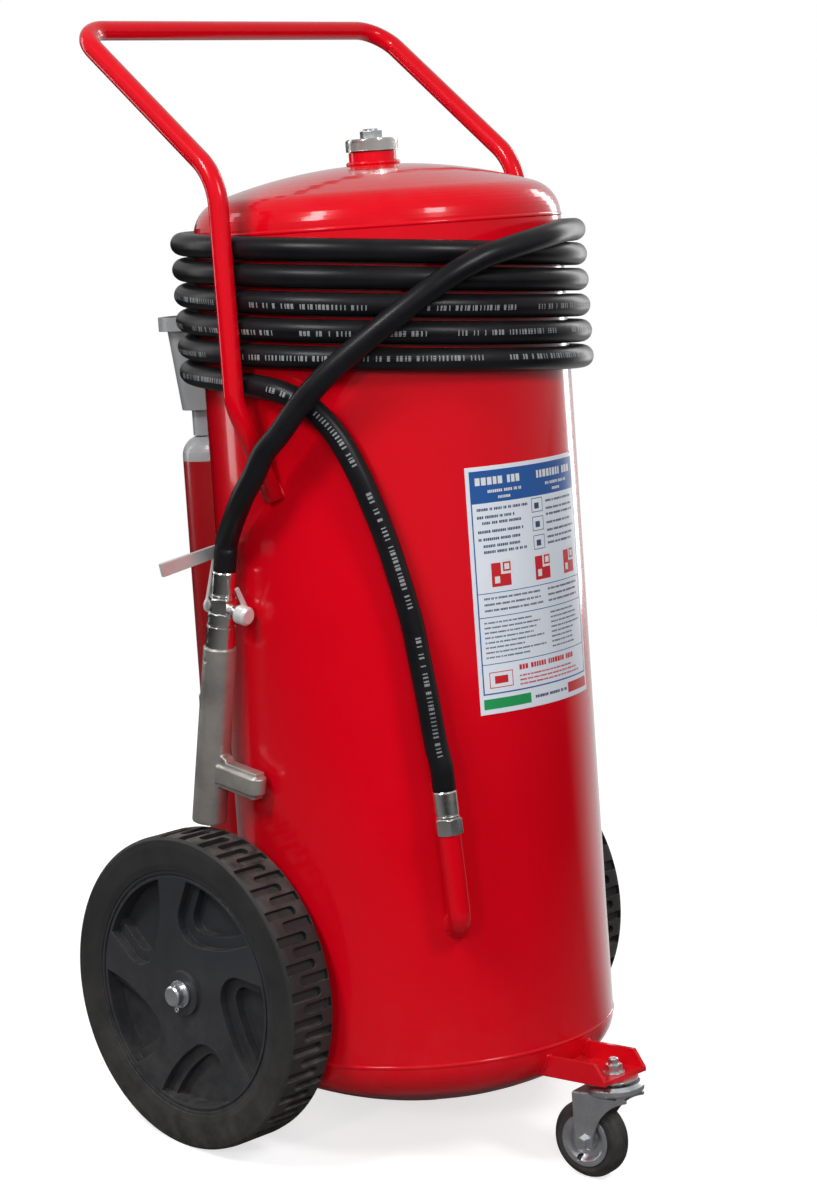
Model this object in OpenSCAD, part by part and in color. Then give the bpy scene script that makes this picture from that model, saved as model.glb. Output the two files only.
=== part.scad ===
// Wheeled powder fire extinguisher with an outside gas cylinder and a wound hose.
// The floor is z = 0, +Y points to the rear, where the handle is, and +X to the right wheel.
// Most pieces are drawn in the tank's own frame, upright, and stand() leans them back.

/* [Stance] */
// Angle at which the tank leans back on its three wheels
lean = 7.8; // [6:0.1:9]
// Play between curved pieces that only rest on each other
rest_gap = 0.3; // [0.2:0.05:0.5]
// Play on the radius of every turning fit
run_gap = 0.08; // [0.05:0.01:0.1]

/* [Tank] */
// Outside diameter of the tank
tank_d = 450; // [440:1:470]
// Thickness of the tank's steel wall
tank_wall = 4; // [3:0.5:6]
// Height of the lower head's weld seam
tank_bottom = 105; // [100:1:115]
// Height of the upper head's weld seam
tank_top = 1088; // [1070:1:1110]
// Rise of the flatter upper head above its seam
top_rise = 75; // [72:1:80]
// Rise of the deeper lower head below its seam
bottom_rise = 87; // [80:1:90]
// Radius of the curve that joins a head to the wall
knuckle = 45; // [35:1:50]
// Width of the weld bead on a seam
bead_w = 6; // [4:0.5:8]

/* [Filler] */
// Outside diameter of the filler neck
neck_d = 58; // [54:1:60]
// Height of the neck's rim above the top of the tank
neck_h = 15; // [12:1:24]
// Diameter of the filler cap
cap_d = 64; // [62:1:76]
// Height of the cap's rim
cap_h = 15; // [12:1:20]
// Size of the relief valve's hexagon across its flats
relief_af = 24; // [22:1:30]
// Height of the relief valve above the cap
relief_h = 12; // [9:1:20]

/* [Outlet] */
// Direction of the outlet, turned from +X
outlet_angle = 233; // [228:0.1:236]
// Outside diameter of the outlet pipe
outlet_d = 28; // [26:0.5:31]
// Bore of the outlet pipe
outlet_bore = 20; // [14:0.5:22]
// Distance of the pipe's centre line from the tank's wall
outlet_off = 27; // [25:0.5:32]
// Height at which the outlet pipe enters the tank
outlet_z = 272; // [260:1:300]
// Height of the outlet pipe's upper end
outlet_top = 384; // [370:1:395]
// Angle at which the outlet pipe leans sideways
outlet_lean = 3; // [0:0.1:4]

/* [Hose] */
// Outside diameter of the hose
hose_d = 27.5; // [24:0.5:28]
// Climb of the hose in one turn round the tank
turn_pitch = 31.2; // [29:0.1:34]
// Turns round the tank
turns = 5.5; // [4.5:1:6.5]
// Length of each crimped ferrule
ferrule_l = 32; // [26:1:40]
// Height of each union nut
nut_h = 19; // [14:1:24]
// Size of each union nut across its flats
nut_af = 30; // [29:1:34]

/* [Handle] */
// Outside diameter of the handle's tube
handle_d = 24; // [22:1:27]
// Wall of the handle's tube
handle_wall = 2; // [1.5:0.5:3]
// Height at which the side tubes bend back
handle_bend_z = 1157; // [1140:1:1175]
// Height of the grip bar above the tank's floor end
handle_bar_z = 1347; // [1320:1:1380]
// Distance from the tank's axis back to the grip bar
handle_bar_y = 227; // [200:1:250]
// Height at which the side tubes turn in to the tank
handle_knee_z = 895; // [890:1:910]
// Height of the side tubes' lower ends
handle_foot_z = 778; // [765:1:795]

/* [Main wheels] */
// Outside diameter of a main tyre
wheel_d = 379; // [370:1:390]
// Width of a main tyre
wheel_w = 69; // [60:1:74]
// How far the outer face of each main wheel stands out past the side of the tank
wheel_reach = 77; // [75:1:87]
// Diameter of the plastic wheel centre
rim_d = 296; // [284:1:300]
// Diameter of the fixed axle
axle_d = 25; // [22:0.5:27]
// Distance of the axle behind the tank's axis
axle_y = 123; // [115:1:130]
// Slots in each row of the tread
tread_count = 36; // [28:1:40]
// Depth of a tread slot
tread_depth = 7; // [4:0.5:9]
// Pockets moulded in each face of the wheel centre
pocket_count = 5; // [4:1:6]
// Depth of a pocket
pocket_depth = 24; // [16:1:25]

/* [Caster] */
// Diameter of the caster's tyre
caster_d = 93; // [88:1:98]
// Width of the caster's tyre
caster_w = 31; // [26:1:33]
// Height of the caster from the floor to its bracket
caster_h = 123; // [120:1:128]
// How far the swivel axis of the caster stands in front of the tank
caster_reach = 64; // [55:1:75]
// Distance of the wheel behind the swivel axis
caster_trail = 37; // [32:1:39]
// Angle at which the caster stands, turned from straight back
caster_turn = 8; // [0:1:40]
// Diameter of the swivel head
head_d = 69; // [64:1:72]
// Thickness of the bracket's steel plate
plate_t = 5; // [4:0.5:6]
// Width of the bracket
bracket_w = 78; // [72:1:90]
// Height of the bracket's side flanges
bracket_h = 25; // [20:1:34]

/* [Gas cylinder] */
// Outside diameter of the gas cylinder
gas_d = 88; // [84:1:94]
// Wall of the gas cylinder
gas_wall = 5; // [4:0.5:7]
// Height of the gas cylinder's lower end
gas_bottom = 290; // [260:1:320]
// Height at which the gas cylinder's shoulder starts
gas_shoulder = 806; // [790:1:815]
// Length of the neck that shows between shoulder and guard
gas_neck_l = 34; // [26:1:40]
// Height of the valve guard
guard_h = 122; // [116:1:130]
// Diameter of the valve guard's rim
guard_d = 126; // [122:1:134]
// Height of the middle of the cylinder's strap
strap_z = 475; // [430:1:520]
// Width of the strap's band
strap_h = 33; // [24:1:40]

/* [Lance] */
// Gap between the lance's tube and the tank, beside the valve
lance_gap = 6; // [4:0.5:9]
// Direction of the lance's valve, turned from +X
lance_angle = 164.4; // [162:0.1:168]
// Height of the lance's valve
lance_z = 643; // [636:1:650]
// Angle of the lance from the tank's axis, close to plumb
lance_tilt = 11; // [9:0.5:12]
// Outside diameter of the lance's tube at its valve
lance_d = 40; // [36:1:42]
// Outside diameter of the lance's tube at its mouth
lance_mouth_d = 42; // [38:1:44]
// Length of the cast tube below the valve
lance_l = 218; // [205:1:218]
// Bore of the lance's mouth
mouth_bore = 16; // [10:0.5:20]
// Reach of the front grip from the lance's axis
grip_reach = 87; // [70:1:92]
// Height of the front grip
grip_h = 33; // [28:1:38]

/* [Hidden] */

$fn = 64;
fine = 128;
knuckle_steps = 10;
crown_steps = 12;

// ---- Derived sizes ----
tank_r = tank_d / 2;
wheel_r = wheel_d / 2;
wheel_out = tank_r + wheel_reach;
axle_z = wheel_r;
stand_z = wheel_r * (1 - cos(lean)) + axle_y * sin(lean);
tank_peak = tank_top + top_rise;
neck_r = neck_d / 2;
neck_top = tank_peak + neck_h;
gasket_t = 1;
cap_bottom = neck_top + gasket_t + run_gap;
cap_top = cap_bottom + cap_h;

bead_rise = bead_w / 6;
coil_r = tank_r + bead_rise + rest_gap + hose_d / 2;
coil_facets = 6;
coil_steps = 24;
handle_r = handle_d / 2;
handle_x = coil_r + hose_d / 2 + rest_gap + handle_r;
handle_top_x = handle_x - 3;

caster_r = caster_d / 2;
caster_y = tank_r + caster_reach;
wheel_back = caster_trail * cos(caster_turn);
caster_axle_z = (caster_r - stand_z + (wheel_back - caster_y) * sin(lean)) / cos(lean);
plate_z = caster_axle_z + caster_h - caster_r;

gas_r = gas_d / 2;
guard_r = guard_d / 2;
gas_y = coil_r + hose_d / 2 + 2 + guard_r;
shoulder_r = 26;
gas_crest = gas_shoulder + shoulder_r;
neck_ring_r = 28;
guard_z = gas_crest + gas_neck_l;
guard_wall = 3;
valve_neck_r = 19;
pipe_r = 5;

outlet_r = tank_r + outlet_off;
outlet_bend = outlet_d / 2 + 7;
ferrule_r = hose_d / 2 + 0.9;
hose_start_z = outlet_top + nut_h + ferrule_l;

lance_axis_r = tank_r + lance_gap + lance_d / 2;
lance_pos = [lance_axis_r * cos(lance_angle), lance_axis_r * sin(lance_angle), lance_z];
valve_r = 17.5;
valve_top = nut_h;
valve_foot = -42;
lance_foot = valve_foot - lance_l;

// Colours of the finishes
red = [0.80, 0.02, 0.04];
dark_red = [0.50, 0.03, 0.06];
zinc = [0.70, 0.72, 0.74];
nickel = [0.72, 0.70, 0.64];
alloy = [0.62, 0.63, 0.64];
rubber = [0.05, 0.05, 0.05];
moulded = [0.09, 0.09, 0.10];
brass = [0.75, 0.60, 0.30];

// ---- Frames ----
module stand() translate([0, 0, stand_z]) rotate([-lean, 0, 0]) children();
module at_outlet() stand() rotate([0, 0, outlet_angle]) translate([outlet_r, 0, outlet_z])
    rotate([outlet_lean, 0, 0]) translate([0, 0, -outlet_z]) children();
module at_gas() stand() translate([0, gas_y, 0]) children();
module at_lance() stand() translate(lance_pos) rotate([lance_tilt, 0, 0]) children();
module at_pivot() at_lance() translate([0, 0, pivot_up]) children();
module at_wheel(side) stand() translate([side * (wheel_out - wheel_w / 2), axle_y, axle_z])
    rotate([0, side * 90, 0]) children();
module at_swivel() stand() translate([0, -caster_y, plate_z]) rotate([0, 0, caster_turn]) children();
module at_caster_wheel() at_swivel() translate([0, caster_trail, caster_r - caster_h])
    rotate([0, 90, 0]) children();

// ---- Small shapes ----
module ring(outer, inner, h) {
    difference() {
        cylinder(r = outer, h = h);
        translate([0, 0, -1]) cylinder(r = inner, h = h + 2);
    }
}

// Hexagonal prism with its chamfered corners
module hex_nut(af, h, bore) {
    difference() {
        intersection() {
            cylinder(d = af / cos(30), h = h, $fn = 6);
            union() {
                cylinder(d1 = af * 1.02, d2 = af * 1.16, h = af * 0.04);
                translate([0, 0, af * 0.04]) cylinder(d = af * 1.16, h = h - af * 0.08);
                translate([0, 0, h - af * 0.04])
                    cylinder(d1 = af * 1.16, d2 = af * 1.02, h = af * 0.04);
            }
        }
        translate([0, 0, -1]) cylinder(r = bore, h = h + 2);
    }
}

function arc(c, r, from, to, n) =
    [for (i = [0:n]) let (a = from + (to - from) * i / n) c + r * [cos(a), sin(a)]];
function reversed(list) = [for (i = [len(list) - 1:-1:0]) list[i]];

// Outline of a dished head from its wall to its middle: a tight knuckle, then a wide crown
function head_outline(r, rise, k) = let (
        crown = ((r - k) * (r - k) + rise * rise - k * k) / (2 * (rise - k)),
        tangent = atan2(crown - rise, r - k),
        step = (90 - tangent) / crown_steps)
    concat(arc([r - k, 0], k, 0, tangent, knuckle_steps),
        arc([0, rise - crown], crown, tangent + step, 90, crown_steps - 1));

// Half section of the closed tank at a given distance inside its outer surface
module tank_section(inset) {
    r = tank_r - inset;
    k = knuckle - inset;
    polygon(concat(
        [for (p = reversed(head_outline(r, bottom_rise - inset, k))) [p[0], tank_bottom - p[1]]],
        [for (p = head_outline(r, top_rise - inset, k)) [p[0], tank_top + p[1]]]));
}

module tank_solid(inset) rotate_extrude($fn = fine) tank_section(inset);

// ---- Bent tubes ----
function unit(v) = v / norm(v);
function turn_between(u, v) = acos(max(-1, min(1, u * v)));
function legs(path) = [for (i = [1:len(path) - 1]) unit(path[i] - path[i - 1])];
function cut_back(path, bend, i) = (i == 0 || i == len(path) - 1) ? 0
    : bend[i] * tan(turn_between(unit(path[i] - path[i - 1]), unit(path[i + 1] - path[i])) / 2);

module along(a, dir) translate(a)
    rotate([0, atan2(norm([dir[0], dir[1]]), dir[2]), atan2(dir[1], dir[0])]) children();

// A round bar along a path of corners, each rounded by its own bend radius
module bent_bar(path, bend, r) {
    dirs = legs(path);
    for (i = [0:len(dirs) - 1]) {
        from = path[i] + dirs[i] * cut_back(path, bend, i);
        to = path[i + 1] - dirs[i] * cut_back(path, bend, i + 1);
        along(from, dirs[i]) cylinder(r = r, h = norm(to - from));
    }
    for (i = [1:len(path) - 2]) {
        u = dirs[i - 1];
        v = dirs[i];
        n = unit(v - u * (u * v));
        w = cross(u, n);
        c = path[i] - u * cut_back(path, bend, i) + n * bend[i];
        multmatrix([[-n[0], u[0], w[0], c[0]], [-n[1], u[1], w[1], c[1]], [-n[2], u[2], w[2], c[2]]])
            rotate_extrude(angle = turn_between(u, v)) translate([bend[i], 0]) circle(r = r);
    }
}

// The same path as stations along its arcs, each a point with its direction
bend_step = 12;
function stations(path, bend) = let (dirs = legs(path), n = len(path) - 1) concat(
    [[path[0], dirs[0]]],
    [for (i = [1:n - 1]) let (u = dirs[i - 1], v = dirs[i], turn = turn_between(u, v),
        side = unit(v - u * (u * v)), c = path[i] - u * cut_back(path, bend, i) + side * bend[i],
        count = ceil(turn / bend_step))
        for (k = [0:count]) let (a = turn * k / count)
            [c + bend[i] * (u * sin(a) - side * cos(a)), u * cos(a) + side * sin(a)]],
    [[path[n], dirs[n - 1]]]);

// ---- Hose ----
function ring_at(p, d, side, r, n, phase) = let (a = unit(side - d * (d * side)), b = cross(d, a))
    [for (k = [0:n - 1]) p + r * (a * cos(phase + 360 * k / n) + b * sin(phase + 360 * k / n))];

// The tube whose rings lie square to the given directions, with one side facing outwards
module sweep(pts, dirs, r, n, phase) {
    last = len(pts) - 1;
    rings = [for (i = [0:last]) each ring_at(pts[i], dirs[i], [pts[i][0], pts[i][1], 0], r, n, phase)];
    near_end = [for (k = [1:n - 2]) [0, k, k + 1]];
    far_end = [for (k = [1:n - 2]) [last * n, last * n + k + 1, last * n + k]];
    polyhedron(rings, concat(walls(last, n, 0), near_end, far_end));
}

// Triangles between the rings of one wall, the first of which starts at a given point
function walls(last, n, start) = [for (i = [0:last - 1], k = [0:n - 1])
    let (a = start + i * n + k, b = start + i * n + (k + 1) % n) each [[a, a + n, b], [b, a + n, b + n]]];

// A hollow tube of the same kind, open at both ends
module hollow_sweep(pts, dirs, r, bore_r, n) {
    last = len(pts) - 1;
    size = (last + 1) * n;
    rings = [for (wall = [r, bore_r], i = [0:last])
        each ring_at(pts[i], dirs[i], [pts[i][0], pts[i][1], 0], wall, n, 0)];
    ends = [for (e = [0, last * n], k = [0:n - 1])
        let (a = e + k, b = e + (k + 1) % n, face = [[a, b, a + size], [b, b + size, a + size]])
        each e == 0 ? face : [for (f = face) reversed(f)]];
    bore = [for (f = walls(last, n, size)) reversed(f)];
    polyhedron(rings, concat(walls(last, n, 0), bore, ends));
}

function polar(p) = [p[1] * cos(p[0]), p[1] * sin(p[0]), p[2]];

// The coil climbs clockwise seen from above; it hangs level, so it tips towards the rear left
coil_from = 150;
coil_z = 910;
coil_tip = 15;
tip_angle = 134;
coil_count = turns * coil_steps;
function coil_angle(i) = coil_from - 360 * i / coil_steps;
function coil_at(i) = polar([coil_angle(i), coil_r,
    coil_z + turn_pitch * i / coil_steps + coil_tip * cos(coil_angle(i) - tip_angle)]);
function coil_dir(i) = unit(coil_at(i + 0.01) - coil_at(i - 0.01));
coil_points = [for (i = [0:coil_count]) coil_at(i)];
coil_dirs = [for (i = [0:coil_count]) coil_dir(i)];
coil_gap = min([for (i = [0:coil_count], j = [i + coil_steps / 2:coil_count])
    norm(coil_points[i] - coil_points[j])]) - hose_d;
echo(coil_gap = coil_gap);

// Route from the outlet to the coil, as shares of the way round, inwards and upwards
outlet_route = [[0.04, 0.2, 0.11], [0.055, 0.4, 0.215], [0.0715, 0.7, 0.31], [0.0905, 0.95, 0.41],
    [0.134, 1, 0.545], [0.161, 1, 0.615], [0.194, 1, 0.687], [0.232, 1, 0.76], [0.293, 1, 0.848],
    [0.373, 1, 0.914], [0.458, 1, 0.95], [0.542, 1, 0.968], [0.701, 1, 0.985], [0.861, 1, 0.995]];
// Route from the coil to the lance: shares of the way round, of a full lift over the coil, and down
lance_route = [[0.05, 0, 0], [0.11, 0, 0], [0.175, 0.02, 0], [0.26, 0.25, 0], [0.34, 0.7, 0.01],
    [0.4, 0.92, 0.026],
    [0.45, 1, 0.045], [0.49, 1.03, 0.066], [0.55, 1.03, 0.122], [0.62, 1.03, 0.215], [0.71, 1.03, 0.35],
    [0.77, 1.06, 0.46], [0.81, 1.1, 0.555], [0.84, 1.1, 0.615], [0.865, 1.06, 0.69], [0.9, 0.9, 0.77]];

function smooth(p0, p1, p2, p3, t) = 0.5 * (2 * p1 + (p2 - p0) * t
    + (2 * p0 - 5 * p1 + 4 * p2 - p3) * t * t + (3 * p1 - p0 - 3 * p2 + p3) * t * t * t);
// Two rings for each stretch of a route but its straight ends, whose own directions are kept
function route_points(pts) = let (n = len(pts) - 1)
    [for (i = [0:n - 1], t = i == 0 || i == n - 1 ? [0] : [0, 0.5])
        smooth(pts[max(i - 1, 0)], pts[i], pts[i + 1], pts[min(i + 2, n)], t), pts[n]];
function route_dirs(pts, first, last) = let (n = len(pts) - 1)
    [first, for (i = [1:n - 1]) unit(pts[i + 1] - pts[i - 1]), last];

hose_sides = 10;
lance_up = [0, -sin(lance_tilt), cos(lance_tilt)];
outlet_up = [sin(outlet_lean) * sin(outlet_angle), -sin(outlet_lean) * cos(outlet_angle),
    cos(outlet_lean)];
outlet_start = polar([outlet_angle, outlet_r, outlet_z]) + outlet_up * (hose_start_z - outlet_z);
outlet_pts = route_points(concat([outlet_start, outlet_start + outlet_up * hose_d],
    [for (p = outlet_route) polar([outlet_angle + p[0] * (coil_from - outlet_angle),
        outlet_r + p[1] * (coil_r - outlet_r), hose_start_z + p[2] * (coil_at(0)[2] - hose_start_z)])],
    [coil_at(0)]));
coil_end_angle = coil_angle(coil_count) - 360 * floor(coil_angle(coil_count) / 360);
coil_end_z = coil_at(coil_count)[2];
full_lift = hose_d + 1.5;
lance_end = lance_pos + lance_up * (valve_top + ferrule_l);
lance_pts = route_points(concat([coil_at(coil_count)],
    [for (p = lance_route) polar([coil_end_angle + p[0] * (lance_angle - coil_end_angle),
        coil_r + p[1] * full_lift, coil_end_z + p[2] * (lance_end[2] - coil_end_z)])],
    [lance_end + lance_up * hose_d * 1.2], [lance_end]));

module hose_outlet_run() color(rubber) stand()
    sweep(outlet_pts, route_dirs(outlet_pts, outlet_up, coil_dir(0)), hose_d / 2, hose_sides, 18);

module hose_coil() color(rubber) stand()
    sweep(coil_points, coil_dirs, hose_d / 2, coil_facets, 30);

module hose_lance_run() color(rubber) stand()
    sweep(lance_pts, route_dirs(lance_pts, coil_dir(coil_count), -lance_up), hose_d / 2, hose_sides, 18);

// Crimped sleeve: a plain barrel between a groove and a rounded mouth
ferrule_groove = 1;
ferrule_mouth = 1.5;
module ferrule(length) difference() {
    union() {
        cylinder(r = ferrule_r - ferrule_groove, h = length);
        cylinder(r = ferrule_r, h = 3);
        translate([0, 0, 5]) cylinder(r = ferrule_r, h = length - 5 - ferrule_mouth);
        translate([0, 0, length - ferrule_mouth])
            cylinder(r1 = ferrule_r, r2 = ferrule_r - ferrule_groove, h = ferrule_mouth);
    }
    translate([0, 0, -1]) cylinder(r = outlet_bore / 2, h = length + 2);
}

module hose_outlet_nut() color(nickel) at_outlet() translate([0, 0, outlet_top])
    hex_nut(nut_af, nut_h, outlet_bore / 2);
module hose_outlet_ferrule() color(nickel) at_outlet() translate([0, 0, outlet_top + nut_h])
    ferrule(ferrule_l);
module hose_lance_ferrule() color(nickel) at_lance() translate([0, 0, valve_top]) ferrule(ferrule_l);

// ---- Tank ----
gas_inlet_z = 690;
inlet_boss_r = 16;
inlet_boss_l = 10;

module tank_shell() color(red) stand() difference() {
    rotate_extrude($fn = fine) difference() {
        union() {
            tank_section(0);
            for (z = [tank_bottom, tank_top]) translate([tank_r + bead_rise - bead_w / 2, z])
                circle(d = bead_w, $fn = 24);
            polygon([[neck_r - 1, tank_peak - 3], [neck_r + weld_leg, tank_peak - 2],
                [neck_r, tank_peak + weld_leg - 1], [neck_r - 1, tank_peak + weld_leg - 1]]);
        }
        tank_section(tank_wall);
    }
    translate([0, 0, tank_peak - 60]) cylinder(r = neck_r, h = 100);
    rotate([0, 0, outlet_angle]) translate([tank_r - 40, 0, outlet_z]) rotate([0, 90, 0])
        cylinder(d = outlet_d, h = 80);
    translate([0, tank_r - 40, gas_inlet_z]) rotate([-90, 0, 0]) cylinder(r = inlet_boss_r, h = 80);
}

neck_wall = 6;
weld_leg = 4;
neck_sink = 8;
module filler_neck() color(red) stand() translate([0, 0, tank_peak - neck_sink])
    ring(neck_r, neck_r - neck_wall, neck_h + neck_sink);

module cap_gasket() color(rubber) stand() translate([0, 0, neck_top])
    ring(neck_r - 2, neck_r - neck_wall - run_gap, gasket_t);

// Guide plug that hangs in the neck and carries the gasket
module cap_plug() color(zinc) stand() translate([0, 0, neck_top - 14])
    ring(neck_r - neck_wall - run_gap, relief_bore_r + 2, 14 + gasket_t);

relief_bore_r = 6;
grip_notches = 72;
notch_r = 0.9;
module filler_cap() color(zinc) stand() difference() {
    translate([0, 0, cap_bottom]) union() {
        cylinder(d = cap_d, h = cap_h - 1.5);
        cylinder(d = cap_d - 3, h = cap_h);
    }
    for (i = [0:grip_notches - 1]) rotate(i * 360 / grip_notches)
        translate([cap_d / 2 + notch_r / 2, 0, cap_bottom + 1]) cylinder(r = notch_r, h = cap_h - 5, $fn = 8);
    translate([0, 0, cap_bottom - 1]) cylinder(r = relief_bore_r, h = cap_h + 2);
}

module relief_valve() color(zinc) stand() difference() {
    union() {
        translate([0, 0, cap_bottom]) cylinder(r = relief_bore_r, h = cap_h);
        translate([0, 0, cap_top]) cylinder(d = relief_af / cos(30), h = relief_h * 0.8, $fn = 6);
        translate([0, 0, cap_top + relief_h * 0.8]) cylinder(d = relief_af * 0.8, h = relief_h * 0.2);
    }
    translate([0, 0, cap_bottom - 1]) cylinder(r = 3, h = cap_h + relief_h + 2);
}

outlet_path = [[-outlet_off - 6, 0, outlet_z], [0, 0, outlet_z], [0, 0, outlet_top]];
module outlet_pipe() color(red) at_outlet() difference() {
    union() {
        bent_bar(outlet_path, [0, outlet_bend, 0], outlet_d / 2);
        translate([0, 0, outlet_top - 14]) cylinder(r = outlet_d / 2 - 3, h = 14);
        translate([0, 0, outlet_top - 9]) ring(outlet_d / 2 - 1.5, outlet_bore / 2, 3);
    }
    bent_bar([outlet_path[0] - [5, 0, 0], outlet_path[1], outlet_path[2] + [0, 0, 5]],
        [0, outlet_bend, 0], outlet_bore / 2);
}

// Dip tube: in from the wall, then down to the bottom of the tank
pickup_x = 150;
pickup_foot = 62;
pickup_bend = 40;
module pickup_path(r, over) rotate([0, 0, outlet_angle]) bent_bar(
    [[tank_r - tank_wall - 2 + over, 0, outlet_z], [pickup_x, 0, outlet_z],
     [pickup_x, 0, pickup_foot - over]],
    [0, pickup_bend, 0], r);
module pickup_tube() color(zinc) stand() difference() {
    pickup_path(outlet_bore / 2 + 2.5, 0);
    pickup_path(outlet_bore / 2, 5);
}

// Tube that carries the gas from the boss down to the lower head
gas_tube_y = tank_r - 50;
gas_tube_foot = 120;
gas_tube_r = 8;
gas_tube_bore = 5.5;
gas_tube_bend = 20;
module gas_tube_path(r, over) bent_bar([[0, tank_r - tank_wall - 6 + over, gas_inlet_z],
    [0, gas_tube_y, gas_inlet_z], [0, gas_tube_y, gas_tube_foot - over]],
    [0, gas_tube_bend, 0], r);
module gas_inlet_tube() color(zinc) stand() difference() {
    gas_tube_path(gas_tube_r, 0);
    gas_tube_path(gas_tube_bore, 5);
}

module gas_inlet_boss() color(red) stand() translate([0, 0, gas_inlet_z]) rotate([-90, 0, 0]) difference() {
    translate([0, 0, tank_r - tank_wall - 6])
        cylinder(r = inlet_boss_r, h = tank_wall + 6 + inlet_boss_l);
    cylinder(r = gas_tube_bore, h = tank_r + 2 * inlet_boss_l);
}

powder_top = 980;
module powder_charge() color([0.85, 0.86, 0.88]) stand() difference() {
    intersection() {
        tank_solid(tank_wall + rest_gap);
        translate([0, 0, -50]) cylinder(r = tank_d, h = powder_top + 50);
    }
    pickup_path(outlet_bore / 2 + 3, 5);
    rotate([0, 0, outlet_angle]) translate([tank_r - 60, 0, outlet_z]) rotate([0, 90, 0])
        cylinder(r = outlet_d / 2 + 1, h = 60);
    gas_tube_path(gas_tube_r + 0.5, 5);
    translate([0, tank_r - 60, gas_inlet_z]) rotate([-90, 0, 0]) cylinder(r = inlet_boss_r + 1, h = 60);
}

label_w = 50.4;
label_h = 290;
label_z = 511;
label_t = 0.5;
glue_t = 0.1;
module label_plate() color("white") stand() rotate([0, 0, 270 - label_w / 2])
    translate([0, 0, label_z]) rotate_extrude(angle = label_w, $fn = fine) translate([tank_r + glue_t, 0])
        square([label_t, label_h]);

// ---- Handle ----
handle_foot = [handle_x - 36, -24, handle_foot_z];
handle_path = [for (s = [-1, 1]) each s < 0
    ? [[-handle_foot[0], handle_foot[1], handle_foot[2]], [-handle_x, -6, handle_knee_z],
       [-handle_top_x, 0, handle_bend_z], [-handle_top_x, handle_bar_y, handle_bar_z]]
    : [[handle_top_x, handle_bar_y, handle_bar_z], [handle_top_x, 0, handle_bend_z],
       [handle_x, -6, handle_knee_z], handle_foot]];
handle_bend = [0, 70, 75, 42, 42, 75, 70, 0];
handle_stations = stations(handle_path, handle_bend);
handle_sides = 24;
module handle_tube() color(red) stand() difference() {
    hollow_sweep([for (t = handle_stations) t[0]], [for (t = handle_stations) t[1]],
        handle_r, handle_r - handle_wall, handle_sides);
    translate([0, 0, tank_bottom]) cylinder(r = tank_r, h = tank_top - tank_bottom, $fn = fine);
}

// ---- Main wheels ----
hub_r = 27;
hub_out = wheel_w / 2 + 1;
bush_r = 17;
washer_t = 3;
washer_rim = 4;
axle_in = sqrt(tank_r * tank_r - (axle_y - axle_d / 2) * (axle_y - axle_d / 2)) + 1;
axle_out = wheel_out - wheel_w / 2 + hub_out + washer_t + 13;

module main_axles() color(zinc) stand() for (s = [-1, 1])
    translate([s * axle_in, axle_y, axle_z]) rotate([0, s * 90, 0]) difference() {
        union() {
            cylinder(d = axle_d, h = axle_out - axle_in - 2);
            translate([0, 0, axle_out - axle_in - 2]) cylinder(d1 = axle_d, d2 = axle_d - 4, h = 2);
        }
        translate([-axle_d, 0, axle_out - axle_in - 8]) rotate([0, 90, 0])
            cylinder(r = split_pin_r + run_gap, h = 2 * axle_d);
    }

bracket_in = tank_r * 2 / 3;
bracket_out = wheel_out - wheel_w / 2 - hub_out - washer_t;
sleeve_r = axle_d / 2 + 8;
gusset_t = 6;
gusset_w = 90;
end_plate_w = 48;
end_plate_t = 8;
module axle_brackets() color(red) stand() difference() {
    for (s = [-1, 1]) translate([0, axle_y, axle_z]) rotate([0, s * 90, 0]) {
        translate([0, 0, bracket_in]) cylinder(r = sleeve_r, h = bracket_out - bracket_in);
        for (e = [-1, 1]) translate([e * (sleeve_r + 1) - gusset_t / 2, -gusset_w / 2, bracket_in])
            cube([gusset_t, gusset_w, bracket_out - gusset_t - bracket_in]);
        translate([-sleeve_r - 4, -end_plate_w / 2, bracket_out - gusset_t - end_plate_t])
            cube([2 * sleeve_r + 8, end_plate_w, end_plate_t]);
    }
    cylinder(r = tank_r, h = tank_top, $fn = fine);
    for (s = [-1, 1]) translate([s * bracket_in, axle_y, axle_z]) rotate([0, s * 90, 0])
        cylinder(d = axle_d, h = bracket_out - bracket_in + 1);
}

module axle_washers() color(zinc) for (s = [-1, 1], z = [-hub_out - washer_t, hub_out])
    at_wheel(s) translate([0, 0, z]) ring(axle_d / 2 + washer_rim, axle_d / 2, washer_t);

split_pin_r = 1.5;
split_eye_r = 2.5;
split_wire_r = 1.1;
module axle_split_pins() color(zinc) for (s = [-1, 1]) at_wheel(s)
    translate([0, 0, hub_out + washer_t + 5]) {
        translate([-axle_d / 2 - split_eye_r - 1, 0, 0]) rotate([0, 90, 0])
            cylinder(r = split_pin_r, h = axle_d + 3 * split_eye_r);
        translate([-axle_d / 2 - 2 * split_eye_r, 0, 0]) rotate_extrude() translate([split_eye_r, 0])
            circle(r = split_wire_r);
    }

// Section of the tyre: flat tread, rounded shoulder and a straight side
module tyre_section() {
    w = wheel_w / 2;
    half = [[rim_d / 2, w - 3], [rim_d / 2 + 8, w - 1], [wheel_r - 12, w], [wheel_r - 4, w - 0.5],
        [wheel_r - 0.8, w - 3], [wheel_r, w - 9]];
    polygon(concat(half, [for (p = reversed(half)) [p[0], -p[1]]]));
}

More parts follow.
